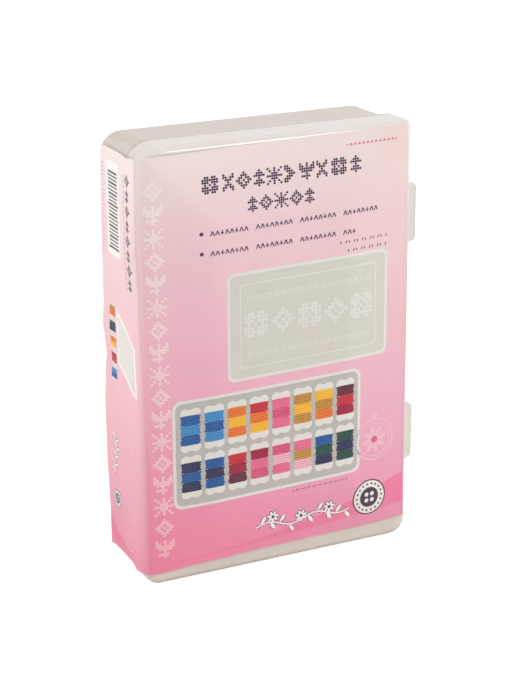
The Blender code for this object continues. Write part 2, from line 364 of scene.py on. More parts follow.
def finish_mesh(name: str, data: BMesh) -> Object:
    """Turn a bmesh into a linked object with its faces pointing out.

    Args:
        name: The object's name.
        data: The bmesh, which is freed.

    Returns:
        The object.
    """
    bmesh.ops.recalc_face_normals(data, faces=data.faces)
    mesh = bpy.data.meshes.new(name)
    data.to_mesh(mesh)
    data.free()
    return add_object(name, mesh)


def rounded_bar(name: str, low: Vector, high: Vector, edge: float = 0.0) -> Object:
    """Build a bar between two corners, with its edges rounded.

    Args:
        name: The object's name.
        low: Lowest corner.
        high: Highest corner.
        edge: Radius of its edges.

    Returns:
        The bar.
    """
    data = bmesh.new()
    bmesh.ops.create_cube(data, size=1.0)
    size = high - low
    matrix = Matrix.Translation((low + high) / 2) @ Matrix.Diagonal((*size, 1.0))
    bmesh.ops.transform(data, matrix=matrix, verts=data.verts)
    if edge:
        bmesh.ops.bevel(data, geom=data.edges[:], offset=edge, segments=3, profile=0.5,
                        affect="EDGES")
    return finish_mesh(name, data)


def combine(item: Object, tool: Object, operation: str) -> None:
    """Apply an exact Boolean with a tool, and remove the tool.

    Args:
        item: The body that changes.
        tool: The other body.
        operation: UNION, DIFFERENCE or INTERSECT.
    """
    modifier = item.modifiers.new("combine", "BOOLEAN")
    modifier.operation = operation
    modifier.solver = "EXACT"
    modifier.object = tool
    evaluated = item.evaluated_get(bpy.context.evaluated_depsgraph_get())
    mesh = bpy.data.meshes.new_from_object(evaluated)
    item.modifiers.clear()
    old, item.data = item.data, mesh
    mesh.name = item.name
    bpy.data.meshes.remove(old)
    bpy.data.meshes.remove(tool.data)


def smooth(item: Object, degrees: float = 28.0) -> None:
    """Shade a body smooth up to an angle, and keep its flat faces flat.

    Args:
        item: The body.
        degrees: Edges sharper than this stay sharp.
    """
    item.data.shade_smooth()
    item.data.set_sharp_from_angle(angle=math.radians(degrees))
    modifier = item.modifiers.new("flat_faces", "WEIGHTED_NORMAL")
    modifier.keep_sharp = True


def dress(item: Object, slot: Slot, *materials: Material) -> None:
    """Give a body its materials."""
    for material in materials:
        item.data.materials.append(material)


class Graph:
    """Adds and joins the nodes of one shader tree."""

    def __init__(self, tree: NodeTree) -> None:
        """Keep the tree."""
        self.tree = tree

    def feed(self, target: NodeSocket, value: object) -> None:
        """Feed a socket from another one, or give it a plain value.

        Args:
            target: The socket that is fed.
            value: A socket or a value.
        """
        if isinstance(value, NodeSocket):
            self.tree.links.new(value, target)
        else:
            target.default_value = value

    def add(self, kind: str, feeds: dict[str | int, object] | None = None,
            **settings: object) -> Node:
        """Add a node.

        Args:
            kind: The node's Blender type.
            feeds: Sockets or values for its inputs, by name or place.
            settings: Attributes to set.

        Returns:
            The node.
        """
        node = self.tree.nodes.new(kind)
        for name, value in settings.items():
            setattr(node, name, value)
        for name, value in (feeds or {}).items():
            self.feed(node.inputs[name], value)
        return node

    def group(self, tree: NodeTree, **feeds: object) -> NodeOutputs:
        """Place a node group, fed by input names, and return its outputs."""
        return self.add("ShaderNodeGroup", feeds, node_tree=tree).outputs

    def math(self, operation: str, first: object, second: object) -> NodeSocket:
        """Return the result of a math node on two sockets or numbers."""
        return self.add("ShaderNodeMath", {0: first, 1: second}, operation=operation).outputs[0]

    def mix(self, mask: NodeSocket, first: object, second: object,
            blend: str = "MIX") -> NodeSocket:
        """Return two colours mixed by a mask, which gives the first where it is 0."""
        feeds = {0: mask, 6: first, 7: second}
        return self.add("ShaderNodeMix", feeds, data_type="RGBA", blend_type=blend).outputs[2]

    def span(self, value: NodeSocket, low: float, high: float,
             kind: str = "SMOOTHSTEP") -> NodeSocket:
        """Return a value's share of the way from low to high, kept between 0 and 1."""
        feeds = {"Value": value, "From Min": low, "From Max": high}
        return self.add("ShaderNodeMapRange", feeds, interpolation_type=kind).outputs[0]

    def place(self) -> NodeSocket:
        """Return the piece's own coordinates."""
        return self.add("ShaderNodeTexCoord").outputs["Object"]

    def wash(self, stops: Wash) -> NodeSocket:
        """Add a colour that changes with the height.

        Args:
            stops: Heights in millimetres, each with its colour.

        Returns:
            The colour's socket.
        """
        split = self.add("ShaderNodeSeparateXYZ", {0: self.place()})
        share = self.math("DIVIDE", split.outputs["Z"], WASH_HEIGHT)
        node = self.add("ShaderNodeValToRGB", {0: share})
        points = node.color_ramp.elements
        while len(points) < len(stops):
            points.new(1.0)
        for point, (height, colour) in zip(points, stops):
            point.position = height * MM / WASH_HEIGHT
            point.color = linear(colour)
        return node.outputs["Color"]


class Effects:
    """Node groups that several finishes use: clouding, grain, fibres and edge wear."""

    def __init__(self) -> None:
        """Build every group once."""
        self.clouding = self._clouding()
        self.grain = self._grain()
        self.fibres = self._fibres()
        self.edge_wear = self._edge_wear()

    @staticmethod
    def _start(name: str, inputs: dict[str, float], outputs: tuple[str, ...],
               ) -> tuple[Graph, NodeOutputs, NodeInputs]:
        """Make an empty group with number sockets.

        Args:
            name: The group's name.
            inputs: Input names with their first values.
            outputs: Output names.

        Returns:
            The graph, the sockets that it is given, and the sockets that it gives.
        """
        tree = bpy.data.node_groups.new(name, "ShaderNodeTree")
        for label, value in inputs.items():
            socket = tree.interface.new_socket(label, in_out="INPUT", socket_type="NodeSocketFloat")
            socket.default_value = value
        for label in outputs:
            tree.interface.new_socket(label, in_out="OUTPUT", socket_type="NodeSocketFloat")
        graph = Graph(tree)
        return graph, graph.add("NodeGroupInput").outputs, graph.add("NodeGroupOutput").inputs

    @staticmethod
    def _noise(graph: Graph, scale: NodeSocket, detail: float, squeeze: float = 1.0,
               shift: float = 0.0) -> NodeSocket:
        """Add noise in the piece's own coordinates.

        Args:
            graph: The graph to add to.
            scale: The socket that gives the noise's scale.
            detail: How many octaves it has.
            squeeze: How much shorter its features are along Z.
            shift: An offset, so that two noises differ.

        Returns:
            The noise's value, about 0.5.
        """
        moved = {"Vector": graph.place(), "Location": (shift, shift, shift), "Scale": (1.0, 1.0, squeeze)}
        place = graph.add("ShaderNodeMapping", moved).outputs["Vector"]
        feeds = {"Vector": place, "Scale": scale, "Detail": detail}
        return graph.add("ShaderNodeTexNoise", feeds).outputs["Fac"]

    def _clouding(self) -> NodeTree:
        """Return a group with slow change of tone over a surface, as a mask from 0 to 1."""
        graph, given, gives = self._start("clouding", {"Scale": 40.0, "Contrast": 1.0}, ("Mask",))
        broad = self._noise(graph, given["Scale"], 2.0)
        finer = self._noise(graph, graph.math("MULTIPLY", given["Scale"], 4.7), 3.0, 1.0, 0.31)
        both = graph.math("ADD", graph.math("MULTIPLY", broad, 0.7), graph.math("MULTIPLY", finer, 0.3))
        spread = graph.math("MULTIPLY", graph.math("SUBTRACT", both, 0.5), given["Contrast"])
        tone = graph.math("ADD", graph.math("MULTIPLY", spread, 3.0), 0.5)
        graph.feed(gives["Mask"], graph.add("ShaderNodeClamp", {"Value": tone}).outputs[0])
        return graph.tree

    def _grain(self) -> NodeTree:
        """Return a group with fine moulded grain: a height, and a small change of roughness."""
        graph, given, gives = self._start("moulded_grain", {"Scale": 1500.0, "Flow": 0.3},
                                          ("Height", "Gloss"))
        fine = self._noise(graph, given["Scale"], 2.0)
        flow = self._noise(graph, graph.math("MULTIPLY", given["Scale"], 0.03), 2.0, 0.35, 0.7)
        graph.feed(gives["Height"], graph.math("ADD", fine, graph.math("MULTIPLY", flow, given["Flow"])))
        graph.feed(gives["Gloss"], graph.math("SUBTRACT", flow, 0.5))
        return graph.tree

    def _fibres(self) -> NodeTree:
        """Return a group with paper fibres: a height, and a mask of lighter and darker flecks."""
        graph, given, gives = self._start("paper_fibres", {"Scale": 900.0}, ("Height", "Flecks"))
        long = self._noise(graph, given["Scale"], 3.0, 0.3, 0.11)
        cross = self._noise(graph, given["Scale"], 3.0, 2.6, 0.53)
        height = graph.math("MAXIMUM", long, cross)
        graph.feed(gives["Height"], height)
        graph.feed(gives["Flecks"], graph.span(height, 0.52, 0.72))
        return graph.tree

    def _edge_wear(self) -> NodeTree:
        """Return a group that breaks up a plain measure of how near an edge is into a wear mask."""
        graph, given, gives = self._start("edge_wear", {"Edge": 0.0, "Amount": 1.0, "Scale": 500.0},
                                          ("Mask",))
        patchy = self._noise(graph, given["Scale"], 4.0, 1.0, 0.9)
        worn = graph.math("ADD", given["Edge"], graph.math("SUBTRACT", patchy, 0.62))
        graph.feed(gives["Mask"], graph.math("MULTIPLY", graph.span(worn, 0.25, 0.75), given["Amount"]))
        return graph.tree


class Shader:
    """A new material with a Principled shader, and the graph that feeds it."""

    def __init__(self, name: str, roughness: float, ior: float = 1.5) -> None:
        """Make the material with its plain values.

        Args:
            name: The material's name.
            roughness: Roughness where nothing else is linked.
            ior: Index of refraction.
        """
        self.material = bpy.data.materials.new(name)
        self.material.use_nodes = True
        self.graph = Graph(self.material.node_tree)
        self.surface = self.material.node_tree.nodes["Principled BSDF"]
        self.feed(Roughness=roughness, IOR=ior)

    def feed(self, **feeds: object) -> None:
        """Feed the surface's inputs from sockets or values, by name with _ for a space."""
        for name, value in feeds.items():
            self.graph.feed(self.surface.inputs[name.replace("_", " ")], value)

    def bump(self, height: NodeSocket, depth: float, strength: float) -> None:
        """Feed the normal from a height, with the relief's depth in metres and its strength."""
        feeds = {"Strength": strength, "Distance": depth, "Height": height}
        self.feed(Normal=self.graph.add("ShaderNodeBump", feeds).outputs["Normal"])


@dataclass(frozen=True)
class FrostedPlastic:
    """Milky polypropylene with a fine moulded grain, clouding and paler worn edges."""

    name: str
    # The defaults are the lid's copy of the plastic, painted lighter than the tray's as painted light.
    light: Colour = (246, 239, 232)
    dark: Colour = (241, 233, 225)
    worn: Colour = (252, 249, 245)
    roughness: float = 0.20
    transmission: float = 0.22
    ior: float = 1.49
    cloud_scale: float = 16.0
    cloud_contrast: float = 0.8
    wear_from: float = 0.50
    wear_full: float = 0.62
    wear_amount: float = 0.3
    wear_scale: float = 160.0
    grain_scale: float = 1800.0
    grain_flow: float = 0.5
    grain_depth: float = 0.02 * MM
    gloss_change: float = 0.16

    def make(self, effects: Effects) -> Material:
        """Build the material.

        Args:
            effects: The shared node groups.

        Returns:
            The material.
        """
        shader = Shader(self.name, self.roughness, self.ior)
        graph = shader.graph
        cloud = graph.group(effects.clouding, Scale=self.cloud_scale, Contrast=self.cloud_contrast)
        bend = graph.add("ShaderNodeNewGeometry").outputs["Pointiness"]
        edge = graph.span(bend, self.wear_from, self.wear_full, "LINEAR")
        wear = graph.group(effects.edge_wear, Edge=edge, Amount=self.wear_amount, Scale=self.wear_scale)
        base = graph.mix(cloud["Mask"], linear(self.dark), linear(self.light))
        grain = graph.group(effects.grain, Scale=self.grain_scale, Flow=self.grain_flow)
        change = graph.math("MULTIPLY", grain["Gloss"], self.gloss_change)
        shader.feed(Base_Color=graph.mix(wear["Mask"], base, linear(self.worn)),
                    Roughness=graph.math("ADD", change, self.roughness),
                    Transmission_Weight=self.transmission)
        shader.bump(grain["Height"], self.grain_depth, 0.5)
        return shader.material


@dataclass(frozen=True)
class PrintedCard:
    """Satin printed card: a pink wash that deepens downwards, with fibres and whitened edges, and with
    painted shade and painted light on the front.
    """

    name: str = "printed_card"
    roughness: float = 0.42
    spine: Wash = ((0.0, (241, 146, 176)), (28.0, (244, 175, 194)), (74.0, (248, 198, 207)),
                   (117.0, (249, 212, 217)), (142.0, (248, 222, 223)), (175.0, (250, 240, 236)))
    # The left wash is print and painted shade together: it is deeper towards the front fold, where the left
    # facet lies in shade, and paler at its top, where the upper facet catches light.
    front_left_print_and_shading: Wash = ((0.0, (247, 138, 170)), (30.0, (248, 151, 181)), (60.0, (249, 171, 195)),
                        (100.0, (250, 192, 209)), (142.0, (249, 213, 221)), (174.0, (250, 236, 235)))
    front_right: Wash = ((0.0, (243, 153, 183)), (30.0, (243, 170, 195)), (60.0, (242, 183, 202)),
                         (100.0, (242, 199, 210)), (142.0, (242, 213, 217)), (174.0, (242, 226, 223)))
    fold_span: Pair = (-61.0 * MM, -58.5 * MM)
    front_span: Pair = (-58.0 * MM, 56.0 * MM)
    # Painted highlight: a pale patch laid into the front's colour at its upper right corner, where the lit
    # corner facet shows lighter.
    blush: Colour = (243, 208, 210)
    painted_highlight_place: Triple = (52.0 * MM, -21.4 * MM, 170.0 * MM)
    painted_highlight_reach: float = 13.0 * MM
    painted_highlight_strength: float = 0.45
    cloud: Colour = (232, 206, 214)
    cloud_strength: float = 0.16
    worn: Colour = (250, 244, 242)
    wear_amount: float = 0.5
    gloss_change: float = 0.10
    fibre_scale: float = 950.0
    fibre_depth: float = 0.012 * MM

    def wash(self, graph: Graph) -> NodeSocket:
        """Add the wash of each panel, which deepens downwards; on the front it also holds painted shade
        towards the fold, painted light on the upper facet and a painted highlight at the upper right
        corner.

        Args:
            graph: The material's graph.

        Returns:
            The colour's socket.
        """
        place = graph.place()
        across = graph.add("ShaderNodeSeparateXYZ", {0: place}).outputs["X"]
        # Blending from the left wash to the right one lays the facets' painted shade and light across the
        # front.
        front = graph.mix(graph.span(across, *self.front_span), graph.wash(self.front_left_print_and_shading),
                          graph.wash(self.front_right))
        # Painted highlight: the pale patch at the front's upper right corner.
        away = graph.add("ShaderNodeVectorMath", {0: place, 1: self.painted_highlight_place}, operation="DISTANCE")
        near = graph.span(away.outputs["Value"], self.painted_highlight_reach, 0.0)
        front = graph.mix(graph.math("MULTIPLY", near, self.painted_highlight_strength), front, linear(self.blush))
        return graph.mix(graph.span(across, *self.fold_span), graph.wash(self.spine), front)

    def make(self, effects: Effects) -> Material:
        """Build the material.

        Args:
            effects: The shared node groups.

        Returns:
            The material.
        """
        shader = Shader(self.name, self.roughness)
        graph = shader.graph
        cloud = graph.group(effects.clouding, Scale=22.0, Contrast=0.8)["Mask"]
        deeper = graph.mix(graph.math("MULTIPLY", cloud, self.cloud_strength), self.wash(graph),
                           linear(self.cloud), "MULTIPLY")
        edge = graph.add("ShaderNodeAttribute", attribute_name="wear").outputs["Fac"]
        wear = graph.group(effects.edge_wear, Edge=edge, Amount=self.wear_amount, Scale=300.0)["Mask"]
        change = graph.math("MULTIPLY", graph.math("SUBTRACT", cloud, 0.5), self.gloss_change)
        shader.feed(Base_Color=graph.mix(wear, deeper, linear(self.worn)),
                    Roughness=graph.math("ADD", graph.math("ADD", change, wear), self.roughness))
        fibres = graph.group(effects.fibres, Scale=self.fibre_scale)
        shader.bump(fibres["Height"], self.fibre_depth, 0.35)
        return shader.material


@dataclass(frozen=True)
class Board:
    """Bare card: the wrap's inner face and cut edges, and the bobbins."""

    name: str
    light: Colour
    dark: Colour
    roughness: float = 0.8
    depth: float = 0.03 * MM
    fibre_scale: float = 620.0
    cloud_scale: float = 60.0
    fleck_strength: float = 0.35

    def make(self, effects: Effects) -> Material:
        """Build the material.

        Args:
            effects: The shared node groups.

        Returns:
            The material.
        """
        shader = Shader(self.name, self.roughness)
        graph = shader.graph
        fibres = graph.group(effects.fibres, Scale=self.fibre_scale)
        cloud = graph.group(effects.clouding, Scale=self.cloud_scale, Contrast=1.0)
        base = graph.mix(cloud["Mask"], linear(self.dark), linear(self.light))
        flecks = graph.math("MULTIPLY", fibres["Flecks"], self.fleck_strength)
        shader.feed(Base_Color=graph.mix(flecks, base, linear(self.dark)))
        shader.bump(fibres["Height"], self.depth, 0.5)
        return shader.material


@dataclass(frozen=True)
class CardInk:
    """Ink on the card: its colour, slightly uneven, over the card's own fibres."""

    ink: Ink
    fade: Wash = ()
    roughness: float = 0.40
    thinning: float = 0.10
    fleck_strength: float = 0.10
    cloud_scale: float = 180.0
    fibre_scale: float = 950.0
    fibre_depth: float = 0.012 * MM

    def make(self, effects: Effects) -> Material:
        """Build the material.

        Args:
            effects: The shared node groups.

        Returns:
            The material.
        """
        shader = Shader("ink_" + self.ink.name.lower(), self.roughness)
        graph = shader.graph
        cloud = graph.group(effects.clouding, Scale=self.cloud_scale, Contrast=0.7)
        fibres = graph.group(effects.fibres, Scale=self.fibre_scale)
        full = linear(self.ink.value)
        thin = linear(tuple(round(part + (255 - part) * self.thinning) for part in self.ink.value))
        if self.fade:
            full = thin = graph.wash(self.fade)
        base = graph.mix(cloud["Mask"], full, thin)
        flecks = graph.math("MULTIPLY", fibres["Flecks"], self.fleck_strength)
        shader.feed(Base_Color=graph.mix(flecks, base, thin))
        shader.bump(fibres["Height"], self.fibre_depth, 0.35)
        return shader.material


class Paints:
    """Every material of the box, made once."""

    def __init__(self) -> None:
        """Build the shared effects and then each material."""
        effects = Effects()
        # The lid and the tray are one plastic: the lid's copy is painted lighter as painted light, and the
        # tray's darker as painted shade.
        self.lid = FrostedPlastic("lid_polypropylene").make(effects)
        self.tray = FrostedPlastic("tray_polypropylene", (227, 218, 206), (221, 212, 201),
                                   roughness=0.32).make(effects)
        self.clasp = FrostedPlastic("clasp_polypropylene", (236, 233, 227), (229, 226, 219),
                                    roughness=0.30, transmission=0.40).make(effects)
        self.film = FrostedPlastic("hinge_film", (238, 234, 228), (226, 221, 213), roughness=0.30,
                                   transmission=0.45, grain_depth=0.006 * MM).make(effects)
        self.card = PrintedCard().make(effects)
        self.board = Board("card_back", (243, 240, 235), (222, 217, 210)).make(effects)
        self.bobbin = Board("bobbin_board", (236, 230, 219), (214, 205, 190), 0.75).make(effects)
        self.bobbin_edge = Board("bobbin_cut_edge", (214, 203, 186), (186, 172, 152), 0.9,
                                 0.06 * MM).make(effects)
        self.inks = {ink: CardInk(ink, FADES.get(ink, ())).make(effects) for ink in Ink}


@dataclass
class Lid:
    """The lid: crowned front with mitred corners, rounded edge and a thin rim lip."""

    box: BoxFrame
    edge_steps: int = 10
    border_turn: float = 3.2 * MM
    crease_turn: float = 12.0 * MM
    inner_turn: float = 1.9 * MM
    lip: float = 0.65 * MM
    lap: float = 1.75 * MM
    rim_turn: float = 0.15 * MM

    def build(self, paints: Paints) -> Object:
        """Build and dress the lid.

        Args:
            paints: The box's materials.

        Returns:
            The lid.
        """
        box, wall = self.box, self.box.wall
        rise = box.slope * box.border
        inside = box.crown + wall
        flat = box.crown_frame + box.cap_margin
        shelf = box.lid_rim - self.lap
        outer = rounded_profile([
            (flat, box.crown, 0.0), (box.crown_frame, box.crown, self.crease_turn),
            (0.0, box.front + rise, self.border_turn), (0.0, box.lid_rim, self.rim_turn),
            (self.lip, box.lid_rim, self.rim_turn), (self.lip, shelf, 0.0),
            (wall, shelf, self.rim_turn),
            (wall, inside + box.slope * (box.crown_frame - wall), self.inner_turn),
            (box.crown_frame, inside, self.crease_turn), (flat, inside, 0.0),
        ], self.edge_steps)
        levels = [(y, box.outline(inset, pieces=box.side_pieces)) for inset, y in outer]
        lid = stack_outlines("lid_shell", levels)
        combine(lid, HingeSide(box).groove(), "DIFFERENCE")
        smooth(lid)
        dress(lid, Slot.FROSTED, paints.lid)
        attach(lid, "lid")
        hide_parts("lid")
        return lid


@dataclass
class HingeSide:
    """The film hinge along the hinge side, and the groove that thins both rims to it."""

    box: BoxFrame
    web: float = 0.5 * MM
    half_height: float = 0.8 * MM
    end_margin: float = 12.5 * MM
    film_inset: float = 0.08 * MM
    film: float = 0.34 * MM
    overlap: float = 0.5 * MM
    bend_steps: int = 12
    height_steps: int = 40

    def groove(self) -> Object:
        """Return the bar that thins the rims."""
        box = self.box
        low = Vector((-box.half_width + self.web, box.lid_rim - box.lap - self.half_height,
                      self.end_margin))
        high = Vector((-box.half_width + 3 * box.wall, box.tray_rim + self.half_height,
                       box.height - self.end_margin))
        return rounded_bar("groove", low, high)

    def build(self, paints: Paints) -> Object:
        """Build the film between the two rims.

        Args:
            paints: The box's materials.

        Returns:
            The film.
        """
        box = self.box
        outer = -box.half_width + self.film_inset
        levels = [box.lid_rim - self.overlap]
        for step in range(self.bend_steps + 1):
            levels.append(box.lid_rim + (box.tray_rim - box.lid_rim) * step / self.bend_steps)
        levels.append(box.tray_rim + self.overlap)
        loop = [(outer, y) for y in levels] + [(outer + self.film, y) for y in reversed(levels)]
        rings = []
        low, high = self.end_margin, box.height - self.end_margin
        for step in range(self.height_steps + 1):
            z = low + (high - low) * step / self.height_steps
            rings.append([Vector((x, y, z)) for x, y in loop])
        film = join_rings("hinge_film", rings)
        smooth(film, 40.0)
        dress(film, Slot.FROSTED, paints.film)
        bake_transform(film)
        return film


@dataclass
class Tray:
    """The tray: drafted walls, a lip inside the lid, three dividers, and the ledge for the hooks."""

    box: BoxFrame
    edge_steps: int = 8
    edge_turn: float = 2.0 * MM
    clasp_turn: float = 2.6 * MM
    rim_turns: Pair = (12.5 * MM, 10.0 * MM)
    back_turns: Pair = (8.5 * MM, 10.0 * MM)
    inner_turn: float = 1.4 * MM
    seam_inset: float = 0.14 * MM
    seam_step: float = 0.22 * MM
    tongue_inset: float = 0.9 * MM
    rim_turn: float = 0.15 * MM
    ledge_root: float = 5.0 * MM
    divider_count: int = 3
    divider: float = 1.2 * MM
    divider_drop: float = 1.0 * MM
    divider_edge: float = 0.3 * MM

    def outline(self, inset: float, y: float, pieces: int = 1) -> list[Pair]:
        """Return the tray's outline at a depth, drafted and set back at the clasps.

        Args:
            inset: How far inside the outer face.
            y: The depth.
            pieces: How many pieces each straight side has.

        Returns:
            Points in X and Z.
        """
        box = self.box
        share = max(0.0, y - box.parting) / (box.back - box.parting)
        pull = inset + box.tray_draft * share
        side = (-box.half_width + pull, box.tray_side - inset)
        upper, lower = (rim + (back - rim) * share for rim, back in zip(self.rim_turns, self.back_turns))
        turns = (self.clasp_turn, upper, lower, self.clasp_turn)
        return box.outline(inset, side, turns, pieces)

    def shell(self) -> Object:
        """Return the open shell."""
        box, wall = self.box, self.box.wall
        floor = box.back - wall
        top = box.tray_rim - box.lap
        flat = wall + self.inner_turn + box.cap_margin
        profile = rounded_profile([
            (flat, box.back, 0.0), (0.0, box.back, self.edge_turn),
            (0.0, box.tray_rim, 0.0), (self.seam_inset, box.tray_rim, 0.0),
            (self.seam_inset, box.tray_rim - self.seam_step, 0.0),
            (self.tongue_inset, box.tray_rim - self.seam_step, 0.0),
            (self.tongue_inset, top, self.rim_turn), (wall, top, self.rim_turn),
            (wall, floor, self.inner_turn), (flat, floor, 0.0),
        ], self.edge_steps)
        levels = [(y, self.outline(inset, y, box.side_pieces)) for inset, y in profile]
        return stack_outlines("tray_shell", levels)

    def dividers(self) -> list[Object]:
        """Return the dividers, which bite into the walls and the floor."""
        box = self.box
        bite = box.wall / 2 + box.tray_draft
        clear = box.height - 2 * box.wall - self.divider_count * self.divider
        pitch = clear / (self.divider_count + 1) + self.divider
        made = []
        for index in range(self.divider_count):
            middle = box.wall + pitch * (index + 1) - self.divider / 2
            low = Vector((-box.half_width + bite, box.tray_rim + self.divider_drop,
                          middle - self.divider / 2))
            high = Vector((box.tray_side - bite, box.back - box.wall / 2, middle + self.divider / 2))
            made.append(rounded_bar(f"divider_{index + 1}", low, high, self.divider_edge))
        return made

    def ledge(self) -> Object:
        """Return the ledge on the clasp side, from the tray's wall out to the lid's outline."""
        box = self.box
        count = box.corner_steps + 1
        start = box.tray_side - self.ledge_root
        outer = box.outline(0.0)
        inner = self.outline(box.wall / 2, box.tray_rim)
        loop = [(start, 0.0)] + outer[-count:] + outer[:count]
        loop += [(start, box.height), (start, box.height - box.wall / 2)]
        loop += inner[:count][::-1] + inner[-count:][::-1]
        loop.append((start, box.wall / 2))
        return stack_outlines("ledge", [(box.tray_rim, loop), (box.tray_rim + box.ledge, loop)])

    def build(self, paints: Paints) -> Object:
        """Build and dress the tray.

        Args:
            paints: The box's materials.

        Returns:
            The tray.
        """
        tray = self.shell()
        for divider in self.dividers():
            combine(tray, divider, "UNION")
        combine(tray, self.ledge(), "UNION")
        combine(tray, HingeSide(self.box).groove(), "DIFFERENCE")
        smooth(tray)
        dress(tray, Slot.FROSTED, paints.tray)
        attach(tray, "tray")
        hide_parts("tray")
        return tray


@dataclass
class Clasp:
    """One clasp, standing open: a plate, a thinned root and the hook along its inner face."""

    box: BoxFrame
    node: str
    sag: float = 0.0
    sag_cuts: int = 8
    sag_pitch: float = 1.0 * MM
    sag_crease: float = 2.0 * MM
    corner_steps: int = 10
    turn: float = 2.6 * MM
    edge: float = 0.28 * MM
    edge_steps: int = 4
    thickness: float = 1.2 * MM
    web: float = 0.5 * MM
    web_width: float = 0.9 * MM
    root_gap: float = 0.3 * MM
    hook_thickness: float = 1.2 * MM
    hook_end_margin: float = 3.0 * MM
    hook_clearance: float = 0.2 * MM
    overrun: float = 1.0 * MM

    @property
    def root(self) -> float:
        """Where the clasp begins, in X."""
        return self.box.half_width + self.root_gap

    def plate(self, low: Vector, high: Vector) -> Object:
        """Return the plate, with rounded edges and outer corners.

        Args:
            low: The node's lowest corner.
            high: The node's highest corner.

        Returns:
            The plate.
        """
        near, far, turn_x = low.y + self.thickness, low.y, high.x - self.turn
        depths = [(self.edge * (1 - math.sin(QUARTER * step / self.edge_steps)),
                   self.edge * (1 - math.cos(QUARTER * step / self.edge_steps)))
                  for step in range(self.edge_steps + 1)]
        faces = [(inset, near - depth) for inset, depth in depths]
        faces += [(inset, far + depth) for inset, depth in reversed(depths)]
        levels = []
        for inset, y in faces:
            turn = self.turn - inset
            loop = [(self.root, low.z + inset)]
            loop += arc((turn_x, low.z + self.turn), turn, -QUARTER, 0.0, self.corner_steps)
            loop += arc((turn_x, high.z - self.turn), turn, 0.0, QUARTER, self.corner_steps)
            loop.append((self.root, high.z - inset))
            levels.append((y, loop))
        return stack_outlines(self.node + "_plate", levels)

    def bend(self, clasp: Object, low: Vector, high: Vector) -> None:
        """Let the lower half of a clasp sag a little, with a soft crease across its middle.

        Args:
            clasp: The clasp's body.
            low: The node's lowest corner.
            high: The node's highest corner.
        """
        data = bmesh.new()
        data.from_mesh(clasp.data)
        middle = (low.z + high.z) / 2
        for step in range(self.sag_cuts + 1):
            z = middle + (step - self.sag_cuts / 2) * self.sag_pitch
            bmesh.ops.bisect_plane(data, geom=data.verts[:] + data.edges[:] + data.faces[:],
                                   plane_co=(0.0, 0.0, z), plane_no=(0.0, 0.0, 1.0))
        root = self.root + self.web_width
        for vertex in data.verts:
            reach = max(0.0, vertex.co.x - root) / (high.x - root)
            drop = smooth_step(middle + self.sag_crease / 2 - vertex.co.z, 0.0, self.sag_crease)
            vertex.co.y += self.sag * reach * drop
            vertex.co.x -= self.sag * reach * drop
        data.to_mesh(clasp.data)
        data.free()

    def build(self, paints: Paints) -> Object:
        """Build and dress the clasp.

        Args:
            paints: The box's materials.

        Returns:
            The clasp.
        """
        low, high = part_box(self.node)
        face = low.y + self.thickness
        clasp = self.plate(low, high)
        axis_x = self.box.half_width + self.root_gap / 2
        start = axis_x + self.box.tray_rim + self.box.ledge - face + self.hook_clearance
        foot = Vector((start, face - self.thickness / 2, low.z + self.hook_end_margin))
        head = Vector((start + self.hook_thickness, high.y, high.z - self.hook_end_margin))
        combine(clasp, rounded_bar(self.node + "_hook", foot, head, self.edge), "UNION")
        over = Vector((self.overrun, self.overrun, self.overrun))
        foot = Vector((self.root, low.y, low.z)) - over
        head = Vector((self.root + self.web_width, face - self.web, high.z + self.overrun))
        combine(clasp, rounded_bar(self.node + "_groove", foot, head), "DIFFERENCE")
        if self.sag:
            self.bend(clasp, low, high)
        clasp.name = self.node + "_moulding"
        smooth(clasp)
        dress(clasp, Slot.CLASP, paints.clasp)
        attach(clasp, self.node)
        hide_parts(self.node)
        return clasp


class Panel(Enum):
    """The card's three panels."""

    FRONT = "front"
    SPINE = "spine"
    BACK = "back"


